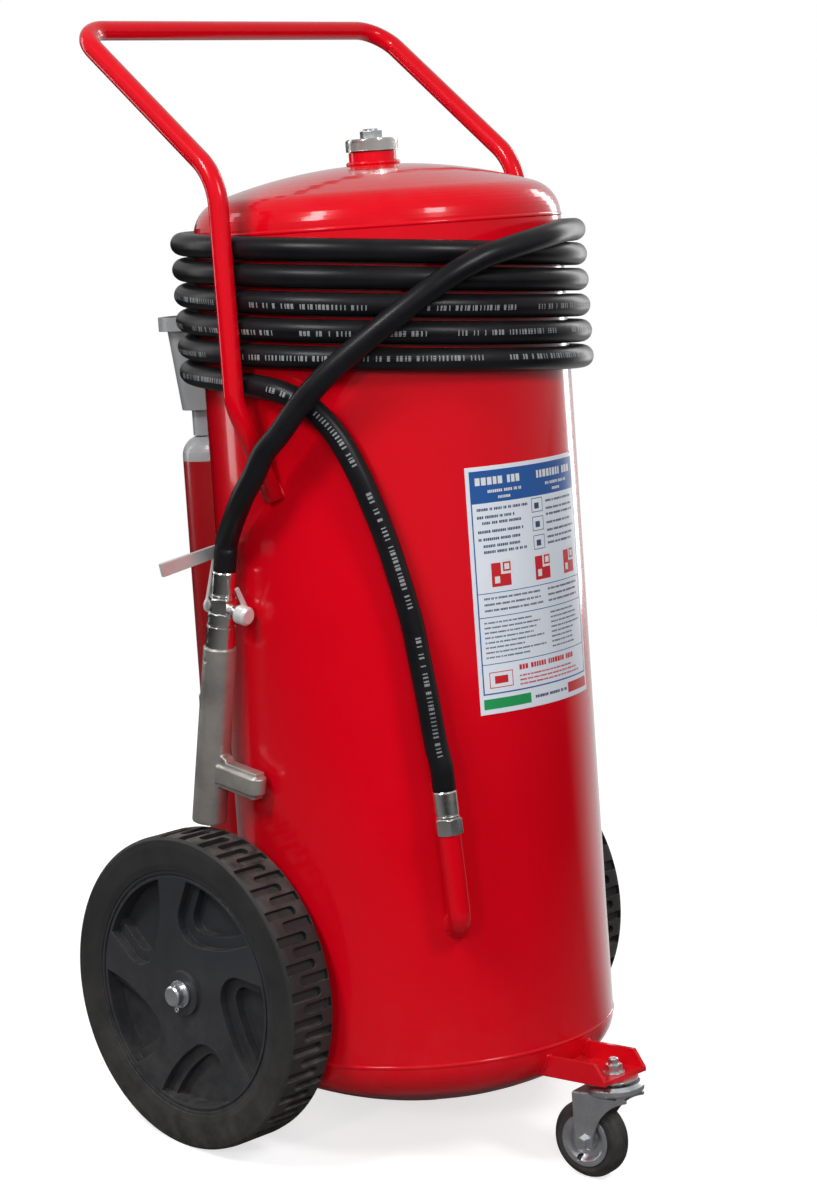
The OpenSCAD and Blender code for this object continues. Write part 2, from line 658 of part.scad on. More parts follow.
slot_w = 12;
module main_tyre() difference() {
    rotate_extrude($fn = fine) tyre_section();
    for (row = [0, 1], i = [0:tread_count - 1]) rotate([0, 0, (i + row / 2) * 360 / tread_count])
        mirror([0, 0, row]) translate([wheel_r - tread_depth, 0, 9]) rotate([0, 90, 0]) rotate([0, 0, 90]) {
            translate([-slot_w / 2, -40, 0]) cube([slot_w, 40, 2 * tread_depth]);
            cylinder(d = slot_w, h = 2 * tread_depth, $fn = 24);
        }
}

// One pocket, as seen with the front to the right: a long swept edge that meets a short
// straight one in a rounded corner, closed by the pocket circle. Each edge can be drawn in.
pocket_r = rim_d / 2 - 10;
sweep_c = [48, 239];
sweep_r = 181.5;
corner_c = [30, 89.5];
corner_r = sweep_r - norm(sweep_c - corner_c);
meet = atan2(corner_c[1] - sweep_c[1], corner_c[0] - sweep_c[0]);
short_edge = 64;
module pocket_shape(inset) intersection() {
    circle(r = pocket_r, $fn = fine);
    polygon(concat(arc(sweep_c, sweep_r - inset, -50, meet, 16),
        arc(corner_c, corner_r - inset, meet - 10, short_edge - 270, 8),
        [corner_c + (corner_r - inset) * [-sin(short_edge), cos(short_edge)]
            + 90 * [cos(short_edge), sin(short_edge)]]));
}

pocket_ledge = 14;
rim_groove = 2;
module wheel_centre() difference() {
    union() {
        translate([0, 0, -wheel_w / 2 + 4]) cylinder(d = rim_d, h = wheel_w - 8, $fn = fine);
        translate([0, 0, -hub_out + 0.5]) cylinder(r = hub_r, h = 2 * hub_out - 1);
    }
    translate([0, 0, -wheel_w]) cylinder(r = bush_r, h = 2 * wheel_w);
    for (side = [0, 1]) mirror([0, 0, side]) translate([0, 0, wheel_w / 2 - 4]) {
        for (i = [0:pocket_count - 1]) rotate(i * 360 / pocket_count - 90) {
            translate([0, 0, -pocket_depth / 2]) linear_extrude(pocket_depth) pocket_shape(0);
            translate([0, 0, -pocket_depth]) linear_extrude(pocket_depth) pocket_shape(pocket_ledge);
        }
        translate([0, 0, -rim_groove]) ring(pocket_r + 6, pocket_r + 3, 2 * rim_groove);
    }
}

module bushes() for (s = [0, 1]) mirror([0, 0, s]) translate([0, 0, hub_out - 26])
    ring(bush_r, axle_d / 2 + run_gap, 25.5);

module left_tyre() color(rubber) at_wheel(-1) main_tyre();
module right_tyre() color(rubber) at_wheel(1) main_tyre();
module left_wheel_centre() color(moulded) at_wheel(-1) wheel_centre();
module right_wheel_centre() color(moulded) at_wheel(1) wheel_centre();
module left_bushes() color(moulded) at_wheel(-1) bushes();
module right_bushes() color(moulded) at_wheel(1) bushes();

// ---- Caster ----
bolt_r = 6;
head_r = head_d / 2;
race_t = 2;
head_gap = 2.5;
bracket_front = caster_y + 17;
bracket_back = tank_r - 60;

module caster_bracket() color(red) stand() difference() {
    translate([0, 0, plate_z]) union() {
        translate([-bracket_w / 2, -bracket_front, 0])
            cube([bracket_w, bracket_front - bracket_back, plate_t]);
        for (s = [-1, 1]) translate([s * (bracket_w - plate_t) / 2 + plate_t / 2, 0, 0]) rotate([90, 0, -90])
            linear_extrude(plate_t) polygon([[bracket_back, 0], [bracket_front, 0], [bracket_front, plate_t],
                [bracket_front - 14, bracket_h], [bracket_back, bracket_h]]);
    }
    tank_solid(0);
    translate([0, -caster_y, plate_z - 1]) cylinder(r = bolt_r, h = plate_t + 2);
}

module caster_bolt() color(zinc) at_swivel() {
    translate([0, 0, plate_t]) ring(13, bolt_r, 2);
    translate([0, 0, plate_t + 2]) hex_nut(18, 9, bolt_r);
    translate([0, 0, crown_z + 2]) cylinder(r = bolt_r, h = plate_t - crown_z - 2 + 17);
    translate([0, 0, plate_t + 17]) cylinder(r1 = bolt_r, r2 = bolt_r - 1.5, h = 1.5);
    translate([0, 0, crown_z - 2]) cylinder(d = 18 / cos(30), h = 6, $fn = 6);
}

module caster_race() color(zinc) at_swivel() translate([0, 0, -race_t]) ring(head_r - 6, bolt_r, race_t);

ball_r = 3;
ball_ring_r = 18;
module caster_balls() color(zinc) at_swivel() for (i = [0:13]) rotate(i * 360 / 14)
    translate([ball_ring_r, 0, -race_t - ball_r - 0.1]) sphere(r = ball_r, $fn = 24);

fork_in = caster_w / 2 + 3;
fork_t = 3;
wheel_drop = caster_h - caster_r;
crown_z = -17;
fork_back = caster_trail + 9;
rib_w = 22;
// Side of the fork, drawn with the swivel axis at 0: a straight rear edge and a swept front edge
module fork_side() difference() {
    polygon([[-head_r + 8, crown_z - 3], [fork_back, crown_z - 3], [fork_back, -wheel_drop + 4],
        [fork_back - 5, -wheel_drop - 7], [caster_trail - 12, -wheel_drop - 7],
        [-head_r + 8, -wheel_drop - 7]]);
    translate([-39, -wheel_drop - 9]) circle(r = 63, $fn = fine);
}

module caster_fork() color(zinc) at_swivel() difference() {
    union() {
        translate([0, 0, crown_z]) rotate_extrude() polygon([[0, 0], [head_r - 3, 0], [head_r, 3],
            [head_r, 8], [head_r - 4, 12], [0, 12]]);
        translate([-fork_in - fork_t, -head_r + 12, crown_z - 3])
            cube([2 * (fork_in + fork_t), fork_back + head_r - 12, 4]);
        for (s = [-1, 1]) {
            translate([s * (fork_in + fork_t / 2) + fork_t / 2, 0, 0]) rotate([90, 0, -90])
                mirror([1, 0]) linear_extrude(fork_t) fork_side();
            translate([s * (fork_in + fork_t) - 2, fork_back - rib_w, -wheel_drop + 12])
                cube([4, rib_w, wheel_drop - 12 + crown_z]);
        }
    }
    translate([0, 0, crown_z - 4]) cylinder(r = head_r - 9, h = 9);
    rotate_extrude() translate([ball_ring_r, -race_t - ball_r - 0.1]) circle(r = ball_r + 0.15);
    translate([0, 0, crown_z - 10]) cylinder(r = bolt_r + run_gap, h = 30);
    translate([0, caster_trail, -wheel_drop]) rotate([0, 90, 0]) cylinder(r = 4, h = 100, center = true);
}

caster_hub_w = 2 * fork_in - 1;
caster_nut_h = 6;
module caster_axle() color(zinc) at_caster_wheel() {
    cylinder(r = 4, h = 2 * (fork_in + fork_t + caster_nut_h), center = true);
    for (s = [0, 1]) mirror([0, 0, s]) translate([0, 0, fork_in + fork_t])
        cylinder(d = bolt_head / cos(30), h = caster_nut_h, $fn = 6);
}

module caster_bush() color(zinc) at_caster_wheel() translate([0, 0, -caster_hub_w / 2])
    ring(7, 4 + run_gap, caster_hub_w);

disc_r = caster_r * 0.67;
module caster_tyre() color(rubber) at_caster_wheel() difference() {
    w = caster_w / 2;
    rotate_extrude($fn = fine) polygon([[disc_r - 4, -w + 4], [disc_r, -w + 1], [caster_r - 9, -w],
        [caster_r - 3, -w + 4], [caster_r, -w + 9], [caster_r, w - 9], [caster_r - 3, w - 4],
        [caster_r - 9, w], [disc_r, w - 1], [disc_r - 4, w - 4]]);
    for (z = [-4, 0, 4]) translate([0, 0, z]) rotate_extrude($fn = fine) translate([caster_r + 0.4, 0])
        circle(r = 1.6, $fn = 16);
}

// Two pressed discs with a rolled edge that hold the tyre between them
module caster_discs() color(zinc) at_caster_wheel() for (s = [0, 1]) mirror([0, 0, s]) difference() {
    w = caster_w / 2;
    rotate_extrude($fn = fine) polygon([[7, 4], [20, 4], [disc_r - 4, w - 6], [disc_r - 4, w - 3.6],
        [disc_r, w - 0.6], [disc_r, w + 1], [disc_r - 6, w + 0.4], [disc_r - 9, w - 3], [21, 7], [14, 7],
        [12, 10], [7, 10]]);
    rotate(25) translate([24, 0, 0]) cylinder(r = 3, h = 30);
}

// ---- Gas cylinder ----
foot_r = 20;
module gas_section(inset) polygon(concat([[0, gas_bottom + inset]],
    arc([gas_r - foot_r, gas_bottom + foot_r], foot_r - inset, -90, 0, 6),
    arc([gas_r - shoulder_r, gas_shoulder], shoulder_r - inset, 0, 90, 8),
    [[0, gas_crest - inset]]));

module gas_cylinder() color(dark_red) at_gas() difference() {
    union() {
        rotate_extrude($fn = fine) gas_section(0);
        translate([0, 0, gas_crest - 6]) cylinder(r = valve_neck_r - 1, h = 16);
    }
    rotate_extrude($fn = fine) gas_section(gas_wall);
    translate([0, 0, gas_crest - 30]) cylinder(r = 11, h = 60);
}

module cylinder_neck_ring() color([0.6, 0.6, 0.6]) at_gas() translate([0, 0, gas_crest + 0.2])
    ring(neck_ring_r, valve_neck_r, gas_neck_l - 0.2);

// Open-topped guard: a widening cone with a wide rim, and two windows
guard_foot_r = guard_r - 23;
guard_waist_r = guard_r - 11;
rim_h = 18;
module valve_guard() color([0.72, 0.73, 0.73]) at_gas() translate([0, 0, guard_z]) difference() {
    w = guard_wall;
    rim_z = guard_h - rim_h;
    rotate_extrude($fn = fine) polygon([[valve_neck_r, 0], [guard_foot_r, 0], [guard_waist_r, rim_z],
        [guard_r, rim_z], [guard_r, guard_h], [guard_r - w, guard_h], [guard_r - w, rim_z + w],
        [guard_waist_r - w, rim_z + w], [guard_foot_r - w, w], [valve_neck_r, w]]);
    translate([-16, -guard_r - 10, 12]) cube([32, guard_r + 10, 34]);
    translate([0, -18, 36]) cube([guard_r + 10, 36, 44]);
}

spout_l = 30;
valve_z = guard_z - gas_neck_l + 10;
valve_out_z = guard_z + 30;
pin_z = valve_out_z + 33;
pin_r = 2;
groove_r = 3;
pin_y = -groove_r - pin_r - run_gap;
module gas_valve() color(brass) at_gas() difference() {
    union() {
        translate([0, 0, valve_z - 24]) cylinder(r = 11, h = 24);
        translate([0, 0, valve_z]) cylinder(r = 15, h = valve_out_z + 14 - valve_z);
        translate([0, 0, valve_out_z + 14]) cylinder(d = 26 / cos(30), h = 12, $fn = 6);
        translate([0, 0, valve_out_z]) rotate([90, 0, 0]) cylinder(r = 9, h = spout_l);
        translate([0, 0, valve_out_z + 26]) cylinder(r = 10, h = 14);
    }
    translate([0, 0, valve_out_z + 4]) cylinder(r = 5 + run_gap, h = 60);
    translate([0, 0, valve_out_z]) rotate([90, 0, 0]) cylinder(r = 4, h = 60);
    translate([-30, pin_y, pin_z]) rotate([0, 90, 0]) cylinder(r = pin_r + run_gap, h = 60);
}

// The spindle can turn with the pin in its groove, but it cannot rise
module valve_spindle() color(zinc) at_gas() difference() {
    translate([0, 0, valve_out_z + 6]) cylinder(r = 5, h = 48);
    translate([0, 0, pin_z - pin_r - run_gap]) ring(8, groove_r, 2 * (pin_r + run_gap));
}

module valve_handwheel() color("firebrick") at_gas() translate([0, 0, valve_out_z + 43]) difference() {
    union() {
        cylinder(r = 11, h = 14);
        translate([0, 0, 7]) rotate_extrude() translate([25, 0]) circle(r = 4.5);
        for (i = [0:3]) rotate(i * 90) translate([8, -3, 4]) cube([16, 6, 6]);
    }
    translate([0, 0, -1]) cylinder(r = 5, h = 12);
}

// Pin with its pull ring, which hangs below the handwheel
pull_ring_r = 11;
ring_drop = 6;
module safety_pin() color(zinc) at_gas() translate([0, pin_y, pin_z]) {
    translate([-16, 0, 0]) rotate([0, 90, 0]) cylinder(r = pin_r, h = 38);
    translate([31, 0, -ring_drop]) rotate([90, 0, 0]) rotate_extrude() translate([pull_ring_r, 0])
        circle(r = 1.5);
}

pipe_standoff = 24;
pipe_y = tank_r + inlet_boss_l + pipe_standoff;
pipe_path = [[0, gas_y - spout_l, valve_out_z], [0, pipe_y, valve_out_z], [0, pipe_y, gas_inlet_z],
    [0, tank_r + inlet_boss_l, gas_inlet_z]];
module gas_pipe() color([0.75, 0.55, 0.4]) stand() bent_bar(pipe_path, [0, 14, 14, 0], pipe_r);

pipe_nut_h = 12;
pipe_nut_af = 20;
pipe_nut_at = [[gas_y - spout_l, valve_out_z], [tank_r + inlet_boss_l + pipe_nut_h, gas_inlet_z]];
module pipe_nuts() color(brass) stand() for (at = pipe_nut_at)
    translate([0, at[0], at[1]]) rotate([90, 0, 0]) hex_nut(pipe_nut_af, pipe_nut_h, pipe_r);

// Welded to the tank: a cup under the gas cylinder, and a saddle plate that the strap is bolted to
cup_t = 5;
cup_h = 22;
arm_x = 20;
saddle_t = 4;
strap_t = 2;
bore_r = gas_r + rest_gap;
bolt_x = bore_r + strap_t + 10;
saddle_w = 2 * bolt_x + 20;
saddle_y = gas_y - bore_r - saddle_t;
module cylinder_cradle() color(red) stand() difference() {
    union() {
        translate([0, gas_y, gas_bottom - cup_t]) cylinder(r = bore_r + cup_t, h = cup_t + cup_h);
        for (s = [-1, 1]) {
            translate([s * arm_x - 3, tank_r - 30, gas_bottom - cup_t])
                cube([6, gas_y - tank_r + 10, cup_t + cup_h]);
            translate([s * arm_x - 3, tank_r - 30, strap_z - strap_h / 2])
                cube([6, saddle_y - tank_r + 31, strap_h]);
        }
        translate([-saddle_w / 2, saddle_y, strap_z - strap_h / 2]) cube([saddle_w, saddle_t, strap_h]);
    }
    translate([0, gas_y, gas_bottom]) cylinder(r = bore_r, h = cup_h + 1, $fn = fine);
    cylinder(r = tank_r, h = tank_top, $fn = fine);
    for (s = [-1, 1]) translate([s * bolt_x, saddle_y - 1, strap_z]) rotate([-90, 0, 0])
        cylinder(r = 4, h = saddle_t + 2);
}

// Steel band round the back of the gas cylinder, with straight sides and an ear at each end
ear_y = saddle_y + saddle_t;
module cylinder_strap() color(zinc) stand() translate([0, 0, strap_z - strap_h / 2]) difference() {
    linear_extrude(strap_h) difference() {
        union() {
            translate([0, gas_y]) circle(r = bore_r + strap_t, $fn = fine);
            translate([-bore_r - strap_t, ear_y]) square([2 * (bore_r + strap_t), gas_y - ear_y]);
            translate([-saddle_w / 2, ear_y]) square([saddle_w, strap_t]);
        }
        translate([0, gas_y]) circle(r = bore_r, $fn = fine);
        translate([-bore_r, ear_y - gas_d]) square([2 * bore_r, gas_y - ear_y + gas_d]);
    }
    for (s = [-1, 1]) translate([s * bolt_x, saddle_y, strap_h / 2]) rotate([-90, 0, 0])
        cylinder(r = 4, h = 10);
}

bolt_head = 13;
module strap_bolts() color(zinc) stand() for (s = [-1, 1])
    translate([s * bolt_x, ear_y, strap_z]) rotate([-90, 0, 0]) {
        translate([0, 0, -saddle_t - 7]) cylinder(r = 4, h = 7 + saddle_t + strap_t);
        translate([0, 0, strap_t]) cylinder(d = bolt_head / cos(30), h = 5, $fn = 6);
        translate([0, 0, -saddle_t - 6]) cylinder(d = bolt_head / cos(30), h = 6, $fn = 6);
    }

// ---- Lance ----
pivot_r = 5;
pivot_up = 5;
ball_d = 22;
module lance_valve_body() color(nickel) at_lance() difference() {
    union() {
        hex_nut(nut_af + 1, valve_top, 1);
        translate([0, 0, -13]) cylinder(r = valve_r, h = 13.5);
        translate([0, 0, valve_foot]) cylinder(r = valve_r, h = -13 - valve_foot - 3);
        translate([0, 0, -17]) cylinder(r = valve_r - 1.5, h = 6);
        translate([0, 0, pivot_up]) rotate([90, 0, 0]) cylinder(r = 9, h = lever_y + 3);
    }
    translate([0, 0, valve_foot - 1]) cylinder(r = 8, h = valve_top - valve_foot + 2);
    translate([0, 0, pivot_up]) sphere(d = ball_d + 2 * rest_gap);
    translate([0, 0, pivot_up]) rotate([90, 0, 0]) cylinder(r = pivot_r + run_gap, h = 60, center = true);
}

slot_d = 3;
module lance_ball() color(nickel) at_pivot() difference() {
    rotate([0, 90, 0]) difference() {
        sphere(d = ball_d);
        cylinder(r = 6.5, h = 40, center = true);
    }
    for (s = [-1, 1]) translate([-pivot_r, s * (ball_d / 2 - slot_d / 2 + 5) - 5 - slot_d / 2, -1.5])
        cube([2 * pivot_r, 10 + slot_d, 3]);
}

module ball_seats() color("white") at_pivot() {
    translate([0, 0, 10]) ring(8, 6.5, 4);
    translate([0, 0, -14]) ring(8, 6.5, 4);
}

lever_y = valve_r + 1;
lever_t = 4;
hub_y = lever_y + 11.5;
hub_len = 15.5;
lever_hub_r = 11.5;
hub_plate = 3;
// Two short stems turn the ball from both sides
module valve_stem() color(zinc) at_pivot() {
    stem_in = ball_d / 2 + 0.2;
    translate([0, -stem_in, 0]) rotate([90, 0, 0]) cylinder(r = pivot_r, h = hub_y + hub_len - 2 - stem_in);
    translate([0, stem_in, 0]) rotate([-90, 0, 0]) cylinder(r = pivot_r, h = lever_y + lever_t - stem_in);
}

module lever_hub() color(alloy) at_pivot() translate([0, -hub_y, 0]) rotate([90, 0, 0]) difference() {
    union() {
        linear_extrude(hub_plate) polygon([[4, 6], [11, 6], [-7, 34], [-11, 32]]);
        cylinder(r = lever_hub_r, h = hub_len - 3);
        translate([0, 0, hub_len - 3]) cylinder(r1 = lever_hub_r, r2 = lever_hub_r - 3, h = 3);
    }
    translate([0, 0, -1]) cylinder(r = pivot_r, h = hub_len - 1);
}

// Flat lever: it rises beside the hose, then bends out to the hand
lever_reach = 86;
lever_rise = 61;
lever_bend_w = 14;
lever_tip_w = 16;
module lance_lever() color(alloy) at_pivot() translate([0, lever_y + lever_t, 0]) rotate([90, 0, 0])
    difference() {
        linear_extrude(lever_t) {
            circle(r = 10);
            polygon([[-8, 0], [8, -4], [24, lever_rise], [20, lever_rise + lever_bend_w],
                [-lever_reach, lever_rise], [6 - lever_reach, lever_rise - lever_tip_w],
                [0, lever_rise - 4]]);
        }
        translate([0, 0, -1]) cylinder(r = pivot_r, h = lever_t + 2);
    }

grip_z = -194.5;
grip_t = 24;
grip_tip = grip_t / 2 - grip_reach;
module lance_tube() color(alloy) at_lance() difference() {
    union() {
        translate([0, 0, lance_foot]) cylinder(d1 = lance_mouth_d, d2 = lance_d, h = lance_l);
        translate([-grip_t / 2, grip_tip, grip_z - grip_h / 2 + 6]) cube([grip_t, -grip_tip, grip_h - 12]);
        translate([-grip_t / 2 + 4, grip_tip - 6, grip_z - grip_h / 2])
            cube([grip_t - 8, 6 - grip_tip, grip_h]);
        translate([0, grip_tip, grip_z - grip_h / 2 + 6]) cylinder(d = grip_t, h = grip_h - 12);
        translate([-8, -lance_d / 2 - 2, grip_z + grip_h / 2 - 2]) rotate([0, 90, 0]) cylinder(r = 8, h = 16);
    }
    translate([0, rest_y, grip_z]) rotate([0, 90, 0]) cylinder(r = peg_r + rest_gap, h = grip_t);
    translate([0, 0, lance_foot - 1]) cylinder(r = mouth_bore / 2 + 4, h = 31);
    translate([0, 0, lance_foot]) cylinder(r = 8, h = lance_l + 1);
    translate([-lance_d, 4, valve_foot - 16]) rotate([0, 90, 0]) cylinder(r = 2, h = lance_d);
}

module lance_nozzle() color(nickel) at_lance() translate([0, 0, lance_foot])
    ring(mouth_bore / 2 + 4, mouth_bore / 2, 30);

// Peg on the tank that the grip hangs on
rest_y = -grip_reach * 0.55;
peg_r = 5;
module lance_holder() color(red) difference() {
    at_lance() translate([1, rest_y, grip_z]) rotate([0, 90, 0]) cylinder(r = peg_r, h = 80);
    stand() cylinder(r = tank_r, h = tank_top, $fn = fine);
}

tank_shell();
filler_neck();
cap_gasket();
cap_plug();
filler_cap();
relief_valve();
outlet_pipe();
pickup_tube();
powder_charge();
gas_inlet_boss();
gas_inlet_tube();
hose_outlet_nut();
hose_outlet_ferrule();
hose_outlet_run();
hose_coil();
hose_lance_run();
hose_lance_ferrule();
lance_valve_body();
lance_ball();
ball_seats();
valve_stem();
lever_hub();
lance_lever();
lance_tube();
lance_nozzle();
lance_holder();
handle_tube();
axle_brackets();
main_axles();
left_tyre();
left_wheel_centre();
left_bushes();
right_tyre();
right_wheel_centre();
right_bushes();
axle_washers();
axle_split_pins();
caster_bracket();
caster_bolt();
caster_race();
caster_balls();
caster_fork();
caster_axle();
caster_tyre();
caster_discs();
caster_bush();
gas_cylinder();
cylinder_neck_ring();
valve_guard();
gas_valve();
valve_spindle();
valve_handwheel();
safety_pin();
gas_pipe();
pipe_nuts();
cylinder_cradle();
cylinder_strap();
strap_bolts();
label_plate();
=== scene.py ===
"""Looks of a wheeled powder extinguisher: camera, hose, finishes, and the pieces laid over the CAD solids."""

import math
import random

import bmesh
import bpy
from mathutils import Matrix, Vector
from mathutils.bvhtree import BVHTree


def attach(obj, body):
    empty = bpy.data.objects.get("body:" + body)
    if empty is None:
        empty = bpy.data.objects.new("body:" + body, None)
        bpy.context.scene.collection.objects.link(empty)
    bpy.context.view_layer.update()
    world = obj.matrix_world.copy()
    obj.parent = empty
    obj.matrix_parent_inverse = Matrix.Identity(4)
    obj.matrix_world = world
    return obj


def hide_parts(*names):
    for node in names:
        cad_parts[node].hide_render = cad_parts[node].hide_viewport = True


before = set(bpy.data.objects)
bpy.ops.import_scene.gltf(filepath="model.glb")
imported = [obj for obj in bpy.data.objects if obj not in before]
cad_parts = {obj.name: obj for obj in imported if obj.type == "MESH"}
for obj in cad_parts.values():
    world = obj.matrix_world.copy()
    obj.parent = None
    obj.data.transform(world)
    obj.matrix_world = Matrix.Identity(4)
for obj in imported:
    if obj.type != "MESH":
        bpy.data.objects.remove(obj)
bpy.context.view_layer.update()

# ---- The stance: the upright tank's frame, in millimetres, stands in the floor's frame, in metres ----
MM = 0.001
LEAN = math.radians(7.8)
WHEEL_R, AXLE_Y = 189.5, 123.0
STAND_Z = WHEEL_R * (1 - math.cos(LEAN)) + AXLE_Y * math.sin(LEAN)
TO_FLOOR = Matrix.Translation((0, 0, STAND_Z * MM)) @ Matrix.Rotation(-LEAN, 4, "X") @ Matrix.Scale(MM, 4)


def stand(x, y, z):
    """A point of the upright tank's frame, leaned back with the tank."""
    return TO_FLOOR @ Vector((x, y, z))


def polar(angle, radius, z):
    """A point by its angle round the tank in degrees, its distance from the tank's axis, and its height."""
    a = math.radians(angle)
    return Vector((radius * math.cos(a), radius * math.sin(a), z))


# ---- Camera ----
def make_camera():
    eye = bpy.data.cameras.new("camera")
    eye.lens, eye.sensor_width = 87.61, 36
    eye.shift_x, eye.shift_y = -0.0223, -0.1698
    eye.clip_start, eye.clip_end = 0.1, 100
    camera = bpy.data.objects.new("camera", eye)
    bpy.context.scene.collection.objects.link(camera)
    right, up = Vector((0.6766, -0.7357, 0.0314)), Vector((0.0913, 0.1262, 0.9878))
    back = right.cross(up)
    turn = Matrix((right, up, back)).transposed().to_4x4()
    camera.matrix_world = Matrix.Translation((-2.5834, -2.3102, 1.4377)) @ turn
    bpy.context.scene.camera = camera


make_camera()


# ---- Meshes ----
def add_mesh(name, points, faces, materials=(), body="tank", face_materials=None):
    """A smooth mesh piece that rides on a body."""
    mesh = bpy.data.meshes.new(name)
    mesh.from_pydata(points, [], faces)
    for i, polygon in enumerate(mesh.polygons):
        polygon.use_smooth = True
        if face_materials:
            polygon.material_index = face_materials[i]
    mesh.update()
    piece = bpy.data.objects.new(name, mesh)
    bpy.context.scene.collection.objects.link(piece)
    for material in materials:
        mesh.materials.append(material)
    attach(piece, body)
    return piece


def along_line(points, i):
    """The direction of a line at one of its points."""
    return (points[min(i + 1, len(points) - 1)] - points[max(i - 1, 0)]).normalized()


def across_frames(centres):
    """Two directions across a line at each of its points, turned as little as possible along it."""
    along = [along_line(centres, i) for i in range(len(centres))]
    side = along[0].orthogonal().normalized()
    frames = []
    for direction in along:
        side = (side - direction * side.dot(direction)).normalized()
        frames.append((side.copy(), direction.cross(side)))
    return frames


def tube(name, centres, radius, sides, materials, body="tank", frames=None):
    """A round bar along its ring centres; the radius is one number or one for each ring."""
    count = len(centres)
    radii = [radius] * count if isinstance(radius, (int, float)) else radius
    frames = frames or across_frames(centres)
    points = []
    for centre, r, (u, v) in zip(centres, radii, frames):
        for k in range(sides):
            a = 2 * math.pi * k / sides
            points.append(centre + (u * math.cos(a) + v * math.sin(a)) * r)
    faces = []
    for i in range(count - 1):
        here, ahead = i * sides, (i + 1) * sides
        for k in range(sides):
            n = (k + 1) % sides
            faces.append((here + k, here + n, ahead + n, ahead + k))
    faces.append(tuple(range(sides))[::-1])
    faces.append(tuple(range((count - 1) * sides, count * sides)))
    return add_mesh(name, points, faces, materials, body)


def smooth(p0, p1, p2, p3, t):
    """A point of the smooth line between p1 and p2, a share t of the way."""
    slope, bend, twist = p2 - p0, 2 * p0 - 5 * p1 + 4 * p2 - p3, 3 * p1 - p0 - 3 * p2 + p3
    return 0.5 * (2 * p1 + slope * t + bend * t * t + twist * t**3)


def rounded(corners, bends, step=3.0):
    """Points along a path whose corners are rounded, each by its own radius."""
    line = [corners[0]]
    for i in range(1, len(corners) - 1):
        into = (corners[i] - corners[i - 1]).normalized()
        out = (corners[i + 1] - corners[i]).normalized()
        turn = into.angle(out)
        start = corners[i] - into * bends[i] * math.tan(turn / 2)
        inward = (out - into * into.dot(out)).normalized()
        centre = start + inward * bends[i]
        count = max(2, round(bends[i] * turn / step))
        for k in range(count + 1):
            a = turn * k / count
            line.append(centre + (into * math.sin(a) - inward * math.cos(a)) * bends[i])
    line.append(corners[-1])
    return line


# ---- Materials ----
def give(tree, socket, value):
    """A socket takes a value or another node's output."""
    if isinstance(value, bpy.types.NodeSocket):
        tree.links.new(value, socket)
    else:
        socket.default_value = value


def feed(tree, node, **sockets):
    """Gives a node's sockets what they take; an underscore stands for a space."""
    for key, value in sockets.items():
        give(tree, node.inputs[key.replace("_", " ")], value)


def put(tree, kind, sockets=None, **settings):
    """A shader node with its settings and what its sockets take."""
    made = tree.nodes.new("ShaderNode" + kind)
    for key, value in settings.items():
        setattr(made, key, value)
    for key, value in (sockets or {}).items():
        give(tree, made.inputs[key], value)
    return made


def math_node(tree, operation, a, b=0.0, clamp=False):
    return put(tree, "Math", {0: a, 1: b}, operation=operation, use_clamp=clamp).outputs[0]


def spread(tree, value, low, high, to_low=0.0, to_high=1.0):
    """A value taken from one range to another, and held there."""
    sockets = {"Value": value, "From Min": low, "From Max": high, "To Min": to_low, "To Max": to_high}
    return put(tree, "MapRange", sockets).outputs["Result"]


def blend_colour(tree, share, a, b):
    made = tree.nodes.new("ShaderNodeMix")
    made.data_type = "RGBA"
    for name, value in (("Factor_Float", share), ("A_Color", a), ("B_Color", b)):
        give(tree, next(s for s in made.inputs if s.identifier == name), value)
    return next(s for s in made.outputs if s.identifier == "Result_Color")


def noise(tree, vector, scale, detail=4.0, roughness=0.5):
    sockets = {"Vector": vector, "Scale": scale, "Detail": detail, "Roughness": roughness}
    return put(tree, "TexNoise", sockets).outputs["Fac"]


def place(tree):
    return put(tree, "TexCoord").outputs["Object"]


def tank_height(tree):
    """Height along the leaning tank, in metres."""
    along = (0.0, math.sin(LEAN), math.cos(LEAN))
    leaning = put(tree, "VectorMath", {0: place(tree), 1: along}, operation="DOT_PRODUCT").outputs["Value"]
    return math_node(tree, "SUBTRACT", leaning, STAND_Z * MM * math.cos(LEAN))


SOCKET_KINDS = {"Color": "NodeSocketColor", "Mask": "NodeSocketFloat", "Vector": "NodeSocketVector"}


def effect(name, inputs, outputs):
    """A shader node group with its named inputs, as (name, kind, usual value), and outputs."""
    tree = bpy.data.node_groups.new(name, "ShaderNodeTree")
    for socket_name, kind, usual in inputs:
        socket = tree.interface.new_socket(name=socket_name, in_out="INPUT", socket_type=SOCKET_KINDS[kind])
        socket.default_value = usual
    for socket_name, kind in outputs:
        tree.interface.new_socket(name=socket_name, in_out="OUTPUT", socket_type=SOCKET_KINDS[kind])
    return tree, tree.nodes.new("NodeGroupInput"), tree.nodes.new("NodeGroupOutput")


def use(tree, group, **values):
    """The group placed in a material with its own values."""
    made = tree.nodes.new("ShaderNodeGroup")
    made.node_tree = group
    feed(tree, made, **values)
    return made.outputs


